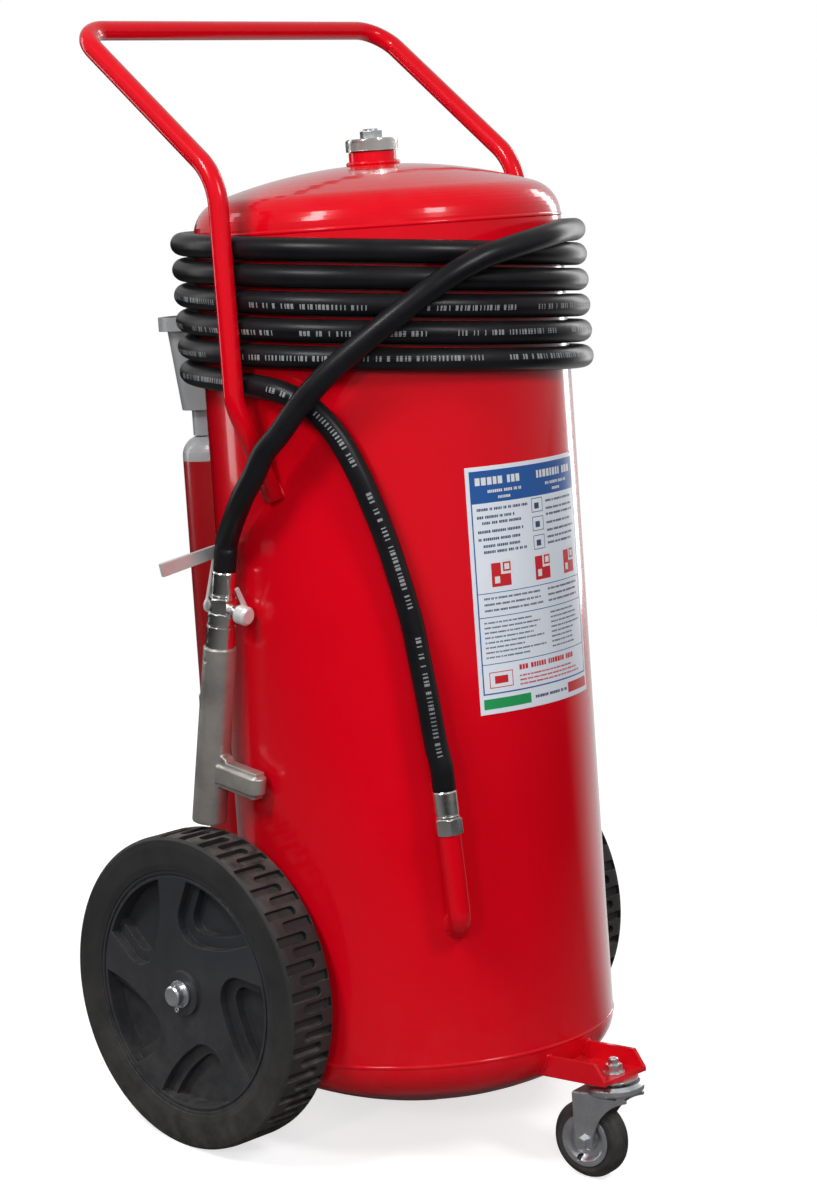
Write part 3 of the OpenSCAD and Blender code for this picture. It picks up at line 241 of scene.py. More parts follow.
def make_edge_wear():
    """Where an edge is rubbed: the rounded normal leaves the plain one there, broken up by noise."""
    tree, given, result = effect(
        "edge wear",
        [("Width", "Mask", 0.0012), ("Amount", "Mask", 0.5), ("Breakup", "Mask", 160.0)],
        [("Mask", "Mask"), ("Normal", "Vector")],
    )
    round_normal = put(tree, "Bevel", {"Radius": given.outputs["Width"]}, samples=4).outputs["Normal"]
    plain = put(tree, "NewGeometry").outputs["Normal"]
    same = put(tree, "VectorMath", {0: round_normal, 1: plain}, operation="DOT_PRODUCT").outputs["Value"]
    level, sharp = 0.98, 0.80
    edge = spread(tree, same, level, sharp)
    patches = noise(tree, place(tree), given.outputs["Breakup"], 5.0, 0.6)
    worn = math_node(tree, "MULTIPLY", edge, spread(tree, patches, 0.42, 0.62))
    mask = math_node(tree, "MULTIPLY", worn, given.outputs["Amount"], True)
    tree.links.new(mask, result.inputs["Mask"])
    tree.links.new(round_normal, result.inputs["Normal"])
    return tree


def make_surface_grain():
    """Fine height and a slow change of tone, for paint, metal, rubber and plastic alike."""
    tree, given, result = effect(
        "surface grain",
        [("Fine", "Mask", 900.0), ("Broad", "Mask", 9.0)],
        [("Height", "Mask"), ("Tone", "Mask")],
    )
    at = place(tree)
    tree.links.new(noise(tree, at, given.outputs["Fine"], 3.0, 0.55), result.inputs["Height"])
    tree.links.new(noise(tree, at, given.outputs["Broad"], 6.0, 0.6), result.inputs["Tone"])
    return tree


def make_settled_dust():
    """Dust on what faces up, and road dirt near the floor."""
    tree, given, result = effect(
        "settled dust",
        [("Dust", "Mask", 0.2), ("Dirt", "Mask", 0.3), ("Dirt height", "Mask", 0.25)],
        [("Mask", "Mask")],
    )
    normal = put(tree, "SeparateXYZ", {0: put(tree, "NewGeometry").outputs["Normal"]}).outputs["Z"]
    patchy = noise(tree, place(tree), 38.0, 8.0, 0.65)
    top = math_node(tree, "MULTIPLY", spread(tree, normal, 0.55, 1.0), given.outputs["Dust"])
    height = put(tree, "SeparateXYZ", {0: place(tree)}).outputs["Z"]
    low = spread(tree, math_node(tree, "DIVIDE", height, given.outputs["Dirt height"]), 1.0, 0.0)
    low = math_node(tree, "MULTIPLY", low, given.outputs["Dirt"])
    both = math_node(tree, "ADD", top, low, True)
    tree.links.new(math_node(tree, "MULTIPLY", both, spread(tree, patchy, 0.35, 0.7), True), result.inputs["Mask"])
    return tree


EDGE_WEAR, GRAIN, DUST = make_edge_wear(), make_surface_grain(), make_settled_dust()
DUST_GREY = (0.34, 0.31, 0.27, 1)
# The part of a noise's range in which a tone changes, and half the height in which paint changes colour
TONE_FROM, TONE_TO, PAINT_EDGE = 0.3, 0.7, 0.0006


def new_material(name):
    material = bpy.data.materials.new(name)
    material.use_nodes = True
    tree = material.node_tree
    tree.nodes.clear()
    shader = put(tree, "BsdfPrincipled")
    out = tree.nodes.new("ShaderNodeOutputMaterial")
    tree.links.new(shader.outputs[0], out.inputs["Surface"])
    return material, tree, shader


def bump(tree, height, depth, normal=None):
    sockets = {"Height": height, "Strength": 1.0, "Distance": depth}
    if normal is not None:
        sockets["Normal"] = normal
    return put(tree, "Bump", sockets).outputs["Normal"]


def finish_of(name, deep, light, rough, fine=900.0, broad=9.0, depth=0.00002, metal=0.0, coat=0.0, worn=None,
              wear=0.4, wear_width=0.0012, dust=0.1, dirt=0.15, above=None, **plain):
    """A finish that varies from its deep tone to its light one, with its grain, worn edges and dust.

    Above may give a height and the colour that takes over there.
    """
    material, tree, shader = new_material(name)
    grain = use(tree, GRAIN, Fine=fine, Broad=broad)
    edges = use(tree, EDGE_WEAR, Width=wear_width, Amount=wear)
    colour = blend_colour(tree, spread(tree, grain["Tone"], TONE_FROM, TONE_TO), deep, light)
    if above:
        edge, other = above
        over = spread(tree, tank_height(tree), edge - PAINT_EDGE, edge + PAINT_EDGE)
        colour = blend_colour(tree, over, colour, other)
    if worn:
        colour = blend_colour(tree, edges["Mask"], colour, worn)
    settled = use(tree, DUST, Dust=dust, Dirt=dirt)
    colour = blend_colour(tree, settled["Mask"], colour, DUST_GREY)
    low, high = rough
    roughness = spread(tree, grain["Tone"], TONE_FROM, TONE_TO, low, high)
    dull = math_node(tree, "MULTIPLY", settled["Mask"], 0.5)
    roughness = math_node(tree, "ADD", roughness, dull, True)
    feed(tree, shader, Base_Color=colour, Roughness=roughness, Metallic=metal, Coat_Weight=coat,
         Normal=bump(tree, grain["Height"], depth, edges["Normal"]), **plain)
    return material


def rgb(r, g, b):
    return (r, g, b, 1)


RED_PAINT = finish_of("red enamel", rgb(0.64, 0.0008, 0.008), rgb(0.72, 0.0012, 0.011), (0.20, 0.27), fine=420.0,
                      broad=3.0, depth=0.000012, coat=1.0, worn=rgb(0.32, 0.003, 0.005), wear=0.35, dust=0.05,
                      dirt=0.05, Coat_Roughness=0.06, Coat_IOR=1.25, Specular_IOR_Level=0.14)
DARK_RED_PAINT = finish_of("dark red enamel", rgb(0.29, 0.002, 0.005), rgb(0.37, 0.004, 0.008), (0.25, 0.33),
                           fine=380.0, broad=4.0, depth=0.000015, coat=0.3, worn=rgb(0.2, 0.003, 0.005), dust=0.05,
                           above=(0.800, rgb(0.40, 0.41, 0.42)), Coat_Roughness=0.1)
GREY_PAINT = finish_of("grey hammer paint", rgb(0.30, 0.31, 0.32), rgb(0.36, 0.37, 0.38), (0.35, 0.48), fine=300.0,
                       depth=0.00005, coat=0.2, worn=rgb(0.5, 0.5, 0.5), Coat_Roughness=0.2)
ZINC = finish_of("zinc plate", rgb(0.66, 0.68, 0.71), rgb(0.82, 0.84, 0.86), (0.24, 0.4), fine=700.0, broad=45.0,
                 depth=0.00001, metal=1.0, worn=rgb(0.8, 0.8, 0.8), dust=0.15)
NICKEL = finish_of("nickel plate", rgb(0.84, 0.83, 0.79), rgb(0.94, 0.93, 0.90), (0.14, 0.25), fine=800.0, broad=60.0,
                   depth=0.000008, metal=1.0, worn=rgb(0.8, 0.78, 0.72), dust=0.08)
ALLOY = finish_of("cast alloy", rgb(0.42, 0.395, 0.365), rgb(0.60, 0.57, 0.53), (0.30, 0.44), fine=420.0, broad=26.0,
                  depth=0.00010, metal=0.8, worn=rgb(0.7, 0.7, 0.7), dust=0.1)
BRASS = finish_of("brass", rgb(0.50, 0.33, 0.10), rgb(0.62, 0.43, 0.16), (0.25, 0.4), broad=50.0, metal=1.0,
                  worn=rgb(0.8, 0.62, 0.3))
COPPER = finish_of("copper pipe", rgb(0.52, 0.22, 0.11), rgb(0.66, 0.31, 0.17), (0.25, 0.4), broad=40.0, metal=1.0,
                   worn=rgb(0.8, 0.45, 0.3))
BRIGHT_ALUMINIUM = finish_of("bright aluminium", rgb(0.74, 0.74, 0.73), rgb(0.86, 0.86, 0.85), (0.28, 0.4), fine=600.0,
                             broad=40.0, metal=0.45, worn=rgb(0.85, 0.85, 0.85), dust=0.05)
HOSE_RUBBER = finish_of("hose rubber", rgb(0.005, 0.005, 0.006), rgb(0.010, 0.010, 0.012), (0.30, 0.42), fine=1100.0,
                        broad=14.0, depth=0.00004, wear=0.0, dust=0.03, dirt=0.0, Specular_IOR_Level=0.22)
SEAL_RUBBER = finish_of("seal rubber", rgb(0.012, 0.012, 0.012), rgb(0.022, 0.022, 0.022), (0.45, 0.6))
TYRE_RUBBER = finish_of("tyre rubber", rgb(0.012, 0.012, 0.012), rgb(0.026, 0.025, 0.0245), (0.50, 0.66), fine=600.0,
                        broad=18.0, depth=0.00012, worn=rgb(0.09, 0.088, 0.085), wear=0.55, wear_width=0.002,
                        dust=0.34, dirt=0.12)
BLACK_PLASTIC = finish_of("black plastic", rgb(0.020, 0.021, 0.025), rgb(0.031, 0.032, 0.037), (0.36, 0.48),
                          fine=1400.0, broad=12.0, depth=0.00005, worn=rgb(0.07, 0.07, 0.075), wear=0.35, dust=0.15)
WHEEL_RED = finish_of("handwheel red", rgb(0.42, 0.01, 0.01), rgb(0.52, 0.015, 0.015), (0.3, 0.42), coat=0.3,
                      worn=rgb(0.2, 0.02, 0.02), Coat_Roughness=0.15)
SEAT_PLASTIC = finish_of("seat plastic", rgb(0.72, 0.72, 0.68), rgb(0.80, 0.80, 0.76), (0.35, 0.45))
POWDER = finish_of("extinguishing powder", rgb(0.55, 0.58, 0.62), rgb(0.72, 0.74, 0.78), (0.9, 1.0), fine=400.0,
                   depth=0.0006, wear=0.0)
WHITE_FILM = finish_of("label film", rgb(0.74, 0.78, 0.86), rgb(0.80, 0.84, 0.92), (0.28, 0.36),
                       depth=0.000008, coat=0.4, dust=0.03, Coat_Roughness=0.12)


def ink(name, r, g, b):
    return finish_of(name, rgb(r * 0.9, g * 0.9, b * 0.9), rgb(r, g, b), (0.28, 0.36), depth=0.000008, coat=0.15,
                     wear=0.0, dust=0.02, Coat_Roughness=0.12, Specular_IOR_Level=0.3)


INKS = {"white": ink("white ink", 0.78, 0.79, 0.80), "blue": ink("blue ink", 0.022, 0.105, 0.36),
        "red": ink("red ink", 0.62, 0.02, 0.03), "green": ink("green ink", 0.02, 0.33, 0.10),
        "dark": ink("dark ink", 0.05, 0.07, 0.16)}
HOSE_INK = finish_of("hose print", rgb(0.19, 0.195, 0.20), rgb(0.30, 0.31, 0.32), (0.5, 0.6), wear=0.0)

# ---- Hose: one route from the outlet's ferrule, round the tank, to the lance's ferrule ----
HOSE_D, HOSE_R = 27.5, 13.75
TANK_R, TANK_TOP = 225.0, 1163
NUT_H, FERRULE_L = 19.0, 32.0
SEAM_H, GAP = 1.0, 0.3
COIL_R = TANK_R + SEAM_H + GAP + HOSE_R
COIL_FROM, COIL_Z, COIL_TIP, TIP_ANGLE = 150.0, 910.0, 15.0, 134.0
TURN_PITCH, TURNS, COIL_STEPS = 31.2, 5.5, 24
OUTLET_ANGLE, OUTLET_R, OUTLET_Z, OUTLET_LEAN = 233.0, TANK_R + 27, 272.0, math.radians(3)
HOSE_START_Z = 384.0 + NUT_H + FERRULE_L
LANCE_ANGLE, LANCE_R, LANCE_Z, LANCE_TILT = 164.4, TANK_R + 26, 643.0, math.radians(11)
LANCE_UP = Vector((0, -math.sin(LANCE_TILT), math.cos(LANCE_TILT)))
# Shares of the way round, inwards and upwards
OUTLET_ROUTE = [(0.04, 0.2, 0.11), (0.055, 0.4, 0.215), (0.0715, 0.7, 0.31), (0.0905, 0.95, 0.41), (0.134, 1, 0.545),
                (0.161, 1, 0.615), (0.194, 1, 0.687), (0.232, 1, 0.76), (0.293, 1, 0.848), (0.373, 1, 0.914),
                (0.458, 1, 0.95), (0.542, 1, 0.968), (0.701, 1, 0.985), (0.861, 1, 0.995)]
# Shares of the way round, of a full lift over the coil, and down
LANCE_ROUTE = [(0.05, 0, 0), (0.11, 0, 0), (0.175, 0.02, 0), (0.26, 0.25, 0), (0.34, 0.7, 0.01), (0.4, 0.92, 0.026),
               (0.45, 1, 0.045), (0.49, 1.03, 0.066), (0.55, 1.03, 0.122), (0.62, 1.03, 0.215), (0.71, 1.03, 0.35),
               (0.77, 1.06, 0.46), (0.81, 1.1, 0.555), (0.84, 1.1, 0.615), (0.865, 1.06, 0.69), (0.9, 0.9, 0.77)]


def coil_at(turn):
    angle = COIL_FROM - 360 * turn
    return polar(angle, COIL_R, COIL_Z + TURN_PITCH * turn + COIL_TIP * math.cos(math.radians(angle - TIP_ANGLE)))


def eased(points, before, after, steps):
    """A smooth line through the points, straight in its first and last stretch where no point goes before or after."""
    line = []
    for i in range(len(points) - 1):
        p0 = points[i - 1] if i else before
        p3 = points[i + 2] if i + 2 < len(points) else after
        if p0 is None or p3 is None:
            line += [points[i].lerp(points[i + 1], k / steps) for k in range(steps)]
        else:
            line += [smooth(p0, points[i], points[i + 1], p3, k / steps) for k in range(steps)]
    return line


def hose_route():
    """The hose's centreline in the tank's frame."""
    a = math.radians(OUTLET_ANGLE)
    lean = math.sin(OUTLET_LEAN)
    outlet_up = Vector((lean * math.sin(a), -lean * math.cos(a), math.cos(OUTLET_LEAN)))
    start = polar(OUTLET_ANGLE, OUTLET_R, OUTLET_Z) + outlet_up * (HOSE_START_Z - OUTLET_Z)
    first = coil_at(0)
    rise = [start, start + outlet_up * HOSE_D]
    for round_share, inward, upward in OUTLET_ROUTE:
        rise.append(polar(OUTLET_ANGLE + round_share * (COIL_FROM - OUTLET_ANGLE),
                          OUTLET_R + inward * (COIL_R - OUTLET_R), HOSE_START_Z + upward * (first.z - HOSE_START_Z)))
    rise.append(first)
    last, end_angle = coil_at(TURNS), (COIL_FROM - 360 * TURNS) % 360
    lance_end = polar(LANCE_ANGLE, LANCE_R, LANCE_Z) + LANCE_UP * (NUT_H + FERRULE_L)
    lead, over_coil, straight = [last], HOSE_D + 1.5, 1.2
    for round_share, lift, down in LANCE_ROUTE:
        lead.append(polar(end_angle + round_share * (LANCE_ANGLE - end_angle), COIL_R + lift * over_coil,
                          last.z + down * (lance_end.z - last.z)))
    lead += [lance_end + LANCE_UP * HOSE_D * straight, lance_end]
    fine_steps, eased_steps = 96, 6
    coil = [coil_at(k / fine_steps) for k in range(round(TURNS * fine_steps))]
    rise = eased(rise, None, coil_at(1 / COIL_STEPS), eased_steps)
    lead = eased(lead, coil_at(TURNS - 1 / COIL_STEPS), None, eased_steps)
    return rise + coil + lead + [lance_end]


def hose_frames(route):
    """At each point of the hose, the direction away from the tank and the one that completes it."""
    frames = []
    for i, centre in enumerate(route):
        ahead = along_line(route, i)
        away = Vector((centre.x, centre.y, 0)).normalized()
        away = (away - ahead * away.dot(ahead)).normalized()
        frames.append((away, ahead.cross(away)))
    return frames


ROUTE = hose_route()
ROUTE_FRAMES = hose_frames(ROUTE)
LEAN_ONLY = TO_FLOOR.to_3x3() * (1 / MM)
hose_line = [TO_FLOOR @ p for p in ROUTE]
hose_across = [(LEAN_ONLY @ u, LEAN_ONLY @ v) for u, v in ROUTE_FRAMES]
hose = tube("hose", hose_line, HOSE_R * MM, sides=28, materials=[HOSE_RUBBER], frames=hose_across)
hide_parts("hose_outlet_run", "hose_coil", "hose_lance_run")


def print_turn(share):
    """How far round the hose its printed line lies, in degrees from the side away from the tank."""
    most, half_way, quickness, sway, sways = 150, 0.585, 60, 14, 47
    inward = most * (1 / (1 + math.exp(-(share - half_way) * quickness)))
    return inward + sway * math.sin(share * sways)


def make_hose_print():
    """A line of plain printed marks, grouped as words are, that repeats along the hose."""
    random.seed(4)
    words, word_gap, repeat_gap, pitch, tall, proud = (4, 12, 4, 1, 2, 3), 1, 6, 4.6, 3.1, 0.06
    from_start, from_end = 40.0, 60
    starts = [0.0]
    for a, b in zip(ROUTE, ROUTE[1:]):
        starts.append(starts[-1] + (b - a).length)
    total = starts[-1]
    points, faces, at, i = [], [], from_start, 0

    def spot(distance, angle):
        nonlocal i
        while i < len(starts) - 2 and starts[i + 1] < distance:
            i += 1
        while i > 0 and starts[i] > distance:
            i -= 1
        t = (distance - starts[i]) / (starts[i + 1] - starts[i])
        centre = ROUTE[i].lerp(ROUTE[i + 1], t)
        u = ROUTE_FRAMES[i][0].lerp(ROUTE_FRAMES[i + 1][0], t).normalized()
        v = ROUTE_FRAMES[i][1].lerp(ROUTE_FRAMES[i + 1][1], t).normalized()
        return TO_FLOOR @ (centre + (u * math.cos(angle) + v * math.sin(angle)) * (HOSE_R + proud))

    while at < total - from_end:
        for word in words:
            for _ in range(word):
                wide = random.choice((1.3, 2.0, 3.1))
                middle = math.radians(print_turn(at / total))
                half = tall / HOSE_R
                base = len(points)
                for angle in (-half, 0, half):
                    points.append(spot(at, middle + angle))
                    points.append(spot(at + wide, middle + angle))
                faces += [(base, base + 1, base + 3, base + 2), (base + 2, base + 3, base + 5, base + 4)]
                at += pitch
            at += pitch * word_gap
        at += pitch * repeat_gap
    marks = add_mesh("hose_print", points, faces, [HOSE_INK])
    return marks


hose_print = make_hose_print()


# ---- CAD nodes and their finishes ----
FINISHES = {
    RED_PAINT: "tank_shell filler_neck outlet_pipe gas_inlet_boss lance_holder axle_brackets caster_bracket "
               "cylinder_cradle",
    DARK_RED_PAINT: "gas_cylinder",
    GREY_PAINT: "cylinder_neck_ring valve_guard",
    ZINC: "cap_plug pickup_tube gas_inlet_tube valve_stem main_axles axle_washers axle_split_pins caster_bolt "
          "caster_race caster_balls caster_fork caster_axle caster_discs caster_bush cylinder_strap strap_bolts "
          "valve_spindle safety_pin relief_valve",
    NICKEL: "filler_cap hose_outlet_nut hose_outlet_ferrule hose_lance_ferrule lance_valve_body lance_ball "
            "lance_nozzle",
    ALLOY: "lance_tube",
    BRIGHT_ALUMINIUM: "lance_lever lever_hub",
    BRASS: "gas_valve pipe_nuts",
    COPPER: "gas_pipe",
    SEAL_RUBBER: "cap_gasket",
    TYRE_RUBBER: "left_tyre right_tyre caster_tyre",
    BLACK_PLASTIC: "left_wheel_centre right_wheel_centre left_bushes right_bushes",
    WHEEL_RED: "valve_handwheel",
    SEAT_PLASTIC: "ball_seats",
    POWDER: "powder_charge",
    WHITE_FILM: "label_plate",
}
for finish, names in FINISHES.items():
    for name in names.split():
        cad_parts[name].data.materials[0] = finish


def round_off(node, grain, rounds, kept):
    """Rounds the edges of a node, as a mould leaves a casting."""
    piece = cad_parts[node]
    piece.modifiers.new("join", "WELD").merge_threshold = 0.00001
    blend = piece.modifiers.new("blend", "REMESH")
    blend.mode, blend.voxel_size, blend.use_smooth_shade = "VOXEL", grain, True
    soften = piece.modifiers.new("soften", "SMOOTH")
    soften.factor, soften.iterations = 0.5, rounds
    piece.modifiers.new("thin", "DECIMATE").ratio = kept


round_off("lance_tube", 0.0013, 9, 0.3)

# ---- Handle ----
HANDLE_R = 12.0
# The side tubes clear the coil and lean in a little towards the grip bar
HANDLE_X = COIL_R + HOSE_R + GAP + HANDLE_R
HANDLE_TOP_X = HANDLE_X - 3
foot = Vector((HANDLE_X - 36, -24, 778))
right_side = [foot, Vector((HANDLE_X, -6, 895)), Vector((HANDLE_TOP_X, 0, 1157)), Vector((HANDLE_TOP_X, 227, 1347))]
left_side = [Vector((-p.x, p.y, p.z)) for p in right_side]
handle_line = rounded(left_side + right_side[::-1], [0, 70, 75, 42, 42, 75, 70, 0])
handle = tube("handle", [TO_FLOOR @ p for p in handle_line], HANDLE_R * MM, sides=32, materials=[RED_PAINT])
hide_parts("handle_tube")


# ---- Weld beads ----
def surface_of(node):
    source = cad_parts[node]
    faces = bmesh.new()
    faces.from_mesh(source.data)
    faces.transform(source.matrix_world)
    bmesh.ops.remove_doubles(faces, verts=faces.verts, dist=0.000002)
    return faces


tank_faces = surface_of("tank_shell")
TANK_TREE = BVHTree.FromBMesh(tank_faces)
tank_faces.free()


def contact_lines(node, near=0.0008):
    """The lines along which a node's cut end leaves the tank's surface."""
    faces = surface_of(node)
    on_tank = {v.index: TANK_TREE.find_nearest(v.co)[3] < near for v in faces.verts}
    flat = {f.index: all(on_tank[v.index] for v in f.verts) for f in faces.faces}
    links = {}
    for edge in faces.edges:
        if sum(flat[f.index] for f in edge.link_faces) == 1:
            a, b = edge.verts
            links.setdefault(a.index, set()).add(b.index)
            links.setdefault(b.index, set()).add(a.index)
    faces.verts.ensure_lookup_table()
    spots = {i: faces.verts[i].co.copy() for i in links}
    faces.free()
    lines = []
    while links:
        start = min(links, key=lambda i: (len(links[i]), i))
        line, here = [start], start
        while here in links and links[here]:
            ahead = min(links[here])
            links[here].discard(ahead)
            links[ahead].discard(here)
            line.append(ahead)
            here = ahead
        links = {i: to for i, to in links.items() if to}
        if len(line) > 2:
            lines.append([spots[i] for i in line])
    return lines


def evenly(line, step):
    """The same line with its points a step apart."""
    points, left = [line[0]], step
    for a, b in zip(line, line[1:]):
        run = (b - a).length
        while left <= run:
            points.append(a.lerp(b, left / run))
            left += step
        left -= run
    return points


def ring_on_tank(base, axis, radius, reach=0.1, steps=48):
    """Where a round bar along an axis meets the tank's outside."""
    u = axis.orthogonal().normalized()
    v = axis.cross(u)
    line = []
    for k in range(steps + 1):
        a = 2 * math.pi * k / steps
        hit = TANK_TREE.ray_cast(base + axis * reach + (u * math.cos(a) + v * math.sin(a)) * radius, -axis)[0]
        if hit:
            line.append(hit)
    return line


def make_welds():
    """Beads with a slight ripple where the fittings meet the tank, in metres."""
    random.seed(23)
    pipe_r, neck_r, step = 0.0142, 0.0305, 0.0016
    fitting_bead, pipe_bead, neck_bead = 0.0021, 0.0024, 0.0026
    lines = []
    for node in ("handle_tube", "axle_brackets", "caster_bracket", "cylinder_cradle", "lance_holder"):
        lines += [(line, fitting_bead) for line in contact_lines(node)]
    radial = LEAN_ONLY @ polar(OUTLET_ANGLE, 1, 0)
    lines.append((ring_on_tank(TO_FLOOR @ polar(OUTLET_ANGLE, TANK_R, OUTLET_Z), radial, pipe_r), pipe_bead))
    up = LEAN_ONLY @ Vector((0, 0, 1))
    lines.append((ring_on_tank(stand(0, 0, TANK_TOP), up, neck_r), neck_bead))
    for number, (line, thick) in enumerate(lines, 1):
        centres = evenly(line, step)
        if len(centres) < 4:
            continue
        radii = [thick * (1 + 0.13 * math.sin(k * 1.9) + random.uniform(-0.08, 0.08)) for k in range(len(centres))]
        bead = tube("weld_bead_%02d" % number, centres, radii, sides=8, materials=[RED_PAINT])


make_welds()


# ---- Label: plain bars and blocks of colour in the usual layout, with no words ----
def make_label():
    """All its sizes are in millimetres, from the label's lower left corner."""
    random.seed(11)
    across, middle = 50.4, 270
    wide, tall, bottom, radius = math.radians(across) * TANK_R, 290.0, 511.0, TANK_R + 0.6
    names = list(INKS)
    points, faces, inks = [], [], []

    def patch(x0, y0, x1, y1, colour, lift=0.1):
        count = max(1, math.ceil((x1 - x0) / 10))
        base = len(points)
        for k in range(count + 1):
            x = x0 + (x1 - x0) * k / count
            angle = middle - across / 2 + math.degrees(x / TANK_R)
            for y in (y0, y1):
                points.append(TO_FLOOR @ polar(angle, radius + lift, bottom + y))
        for k in range(count):
            a = base + 2 * k
            faces.append((a, a + 2, a + 3, a + 1))
            inks.append(names.index(colour))

    def border(x0, y0, x1, y1, line, colour):
        patch(x0, y0, x1, y0 + line, colour)
        patch(x0, y1 - line, x1, y1, colour)
        patch(x0, y0, x0 + line, y1, colour)
        patch(x1 - line, y0, x1, y1, colour)

    def words(x0, x1, y, height, colour, lift=0.1, fullness=1.0):
        x = x0
        end = x0 + (x1 - x0) * fullness
        while x < end - height:
            for _ in range(random.randint(2, 8)):
                long = random.uniform(0.4, 0.75) * height
                if x + long > end:
                    break
                patch(x, y, x + long, y + height, colour, lift)
                x += long + height * 0.2
            x += height * 0.6

    edge, line = 5.0, 1.6
    border(edge, edge + 18, wide - edge, tall - edge, line, "blue")
    patch(edge + line, 247, wide - edge - line, tall - edge - line, "blue")
    for x0, x1 in ((12, 92), (104, wide - 12)):
        words(x0, x1, 268, 9, "white", 0.18, 0.98)
        words(x0 + 16, x1 - 14, 258.5, 3.4, "white", 0.18)
        words(x0 + 30, x1 - 30, 251, 3.2, "white", 0.18)
    for row, y in enumerate((238, 229, 222, 212, 203, 195, 188)):
        words(12 if row not in (2, 5, 6) else 18, 86, y, 3.2, "dark", 0.1, random.uniform(0.7, 1.0))
        words(118, wide - 12, y, 2.6, "dark", 0.1, random.uniform(0.75, 1.0))
    for y in (228, 206, 184):
        border(92, y, 112, y + 16.8, 0.8, "dark")
        patch(97, y + 4, 105, y + 11, "dark")
    for x in (26, 92, 150):
        patch(x, 148, x + 27, 176, "red")
        patch(x + 13, 162, x + 30, 179, "white", 0.16)
        patch(x + 16, 165, x + 27, 176, "red", 0.22)
        patch(x + 18, 167, x + 25, 174, "white", 0.28)
        patch(x + 4, 152, x + 11, 160, "white", 0.16)
    for y in (141, 113, 58):
        patch(edge + line, y, wide - edge - line, y + 0.9, "blue")
    for y in (134, 127, 120):
        words(14, 104, y, 2.4, "dark", 0.1, random.uniform(0.9, 1.0))
        words(112, wide - 12, y, 2.4, "dark", 0.1, random.uniform(0.85, 1.0))
    for k in range(8):
        y = 106 - k * 5.8
        words(12, 104, y, 1.9, "dark", 0.1, random.uniform(0.6, 1.0))
        words(114, wide - 12, y, 1.9, "dark", 0.1, random.uniform(0.6, 1.0))
    words(56, 160, 47, 6, "red")
    border(14, 30, 46, 49, 1, "red")
    patch(21, 35, 39, 44, "red")
    for y in (39, 34, 29):
        words(56, wide - 14, y, 2.0, "red", 0.1, random.uniform(0.7, 1.0))
    patch(edge, 6, edge + 66, 18, "green")
    patch(wide - edge - 52, 6, wide - edge, 18, "red")
    words(78, 138, 10, 3.4, "dark")
    piece = add_mesh("label_print", points, faces, list(INKS.values()), face_materials=inks)


make_label()


# ---- Stage ----
# The way to the pale wall behind the part, on its right
PALE_SIDE = (0.96, 0.27, 0.0)
# Each lamp: where it stands, what it looks at, its width and height, its power, and if it glints in paint
LAMPS = (
    ("left high", (-2.6, 0.3, 3.1), (0, 0.05, 0.75), 0.7, 0.9, 54, True),
    ("right high", (-0.4, -2.7, 3.1), (0, 0.05, 0.75), 0.7, 0.9, 46, True),
    ("front", (-3.0, -3.3, 2.5), (0, 0, 0.6), 1.3, 1.1, 44, False),
    ("left front", (-4.2, -1.5, 2.1), (0, 0, 0.6), 0.4, 0.4, 34, False),
    ("left strip", (-0.9, 2.9, 1.3), (0, 0, 0.7), 0.5, 2.4, 12, True),
    ("right strip", (3.0, 0.5, 1.3), (0, 0, 0.7), 0.6, 2.4, 22, True),
)


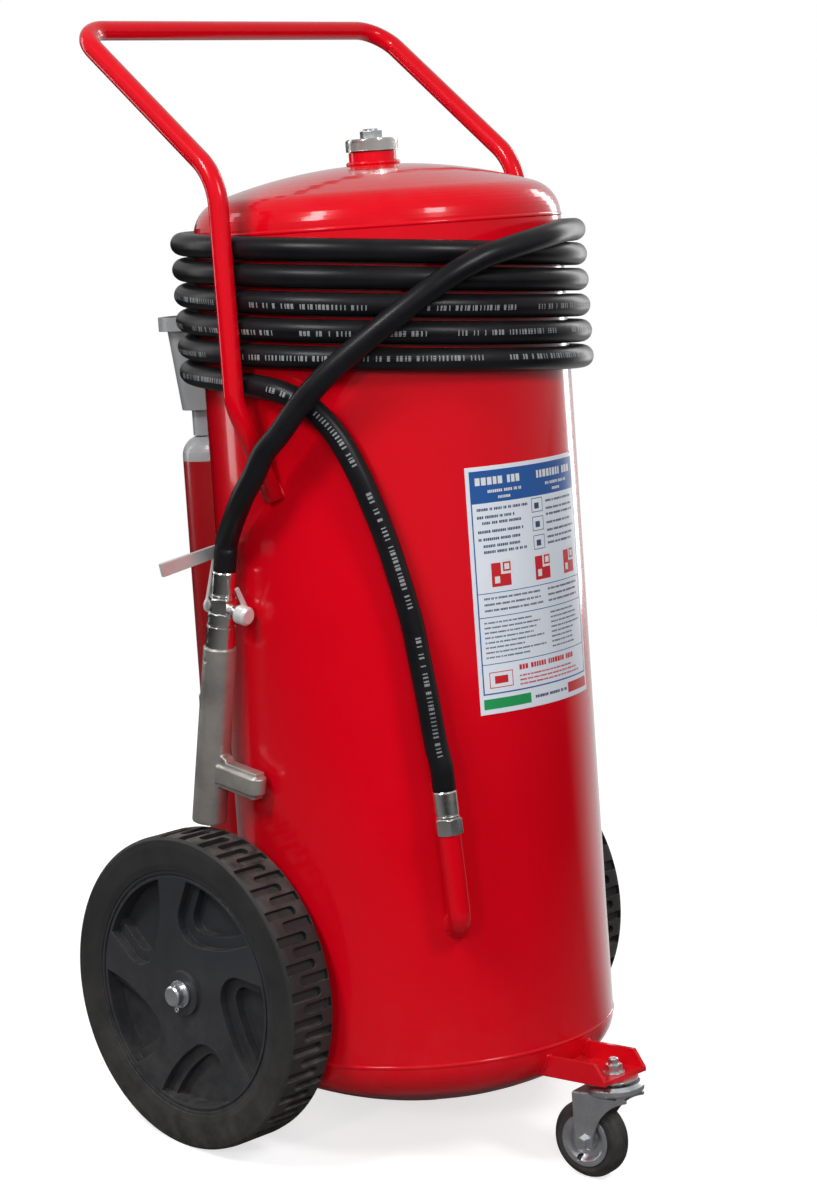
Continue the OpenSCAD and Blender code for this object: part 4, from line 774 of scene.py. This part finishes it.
def make_floor():
    """A plain floor that runs into white a few metres out, and glints pale where the pale wall would."""
    reach, near, far, below = 30.0, 1.3, 3.0, -0.0002
    fill, glint_from, glint_full, glint = 0.05, 0.74, 0.94, 0.65
    corners = [(x, y, below) for x, y in ((-reach, -reach), (reach, -reach), (reach, reach), (-reach, reach))]
    mesh = bpy.data.meshes.new("floor")
    mesh.from_pydata(corners, [], [(0, 1, 2, 3)])
    floor = bpy.data.objects.new("floor", mesh)
    bpy.context.scene.collection.objects.link(floor)
    material, tree, shader = new_material("studio floor")
    mottle = spread(tree, noise(tree, place(tree), 2.0), TONE_FROM, TONE_TO, 0.60, 0.64)
    distance = put(tree, "VectorMath", {0: place(tree)}, operation="LENGTH").outputs["Value"]
    away = spread(tree, distance, near, far)
    path = put(tree, "LightPath").outputs
    seen = path["Is Camera Ray"]
    shown_glow = spread(tree, away, 0, 1, 0.68, 1.0)
    glow = math_node(tree, "ADD", math_node(tree, "MULTIPLY", seen, shown_glow),
                     math_node(tree, "MULTIPLY", path["Is Diffuse Ray"], fill))
    outward = put(tree, "VectorMath", {0: place(tree)}, operation="NORMALIZE").outputs["Vector"]
    behind = put(tree, "VectorMath", {0: outward, 1: PALE_SIDE}, operation="DOT_PRODUCT").outputs["Value"]
    sheen = spread(tree, behind, glint_from, glint_full, 0.0, glint)
    sheen = math_node(tree, "MULTIPLY", path["Is Glossy Ray"], sheen)
    glow = math_node(tree, "ADD", glow, sheen)
    tone = math_node(tree, "MULTIPLY", mottle, math_node(tree, "SUBTRACT", 1.0, away))
    tone = math_node(tree, "MULTIPLY", tone, spread(tree, seen, 0, 1, 0.3, 1.0))
    feed(tree, shader, Base_Color=put(tree, "CombineColor", {0: tone, 1: tone, 2: tone}).outputs[0], Roughness=0.8)
    feed(tree, shader, Emission_Color=rgb(1, 1, 1), Emission_Strength=glow, Specular_IOR_Level=0.0)
    mesh.materials.append(material)


def make_world():
    """White to the camera; it lights the part from behind on the right, as a pale wall does, and less elsewhere."""
    world = bpy.data.worlds.new("studio")
    world.use_nodes = True
    bpy.context.scene.world = world
    tree = world.node_tree
    back = tree.nodes["Background"]
    towards = put(tree, "TexCoord").outputs["Generated"]
    behind = put(tree, "VectorMath", {0: towards, 1: PALE_SIDE}, operation="DOT_PRODUCT").outputs["Value"]
    wall = spread(tree, behind, 0.3, 1.0, 0.16, 0.45)
    path = put(tree, "LightPath").outputs
    fill = math_node(tree, "MULTIPLY", path["Is Diffuse Ray"], 0.05)
    fill = math_node(tree, "ADD", fill, math_node(tree, "MULTIPLY", path["Is Glossy Ray"], 0.2))
    lit = math_node(tree, "MAXIMUM", math_node(tree, "ADD", wall, fill), path["Is Camera Ray"])
    tree.links.new(lit, back.inputs["Strength"])
    back.inputs["Color"].default_value = rgb(1, 1, 1)


def make_lamps():
    for name, at, to, wide, high, power, glints in LAMPS:
        lamp = bpy.data.lights.new(name, "AREA")
        lamp.shape, lamp.size, lamp.size_y, lamp.energy = "RECTANGLE", wide, high, power
        light = bpy.data.objects.new(name, lamp)
        light.location = at
        light.visible_glossy = glints
        light.rotation_mode = "QUATERNION"
        light.rotation_quaternion = (Vector(to) - Vector(at)).to_track_quat("-Z", "Y")
        bpy.context.scene.collection.objects.link(light)


make_floor()
make_world()
make_lamps()
bpy.context.scene.view_settings.view_transform = "Standard"
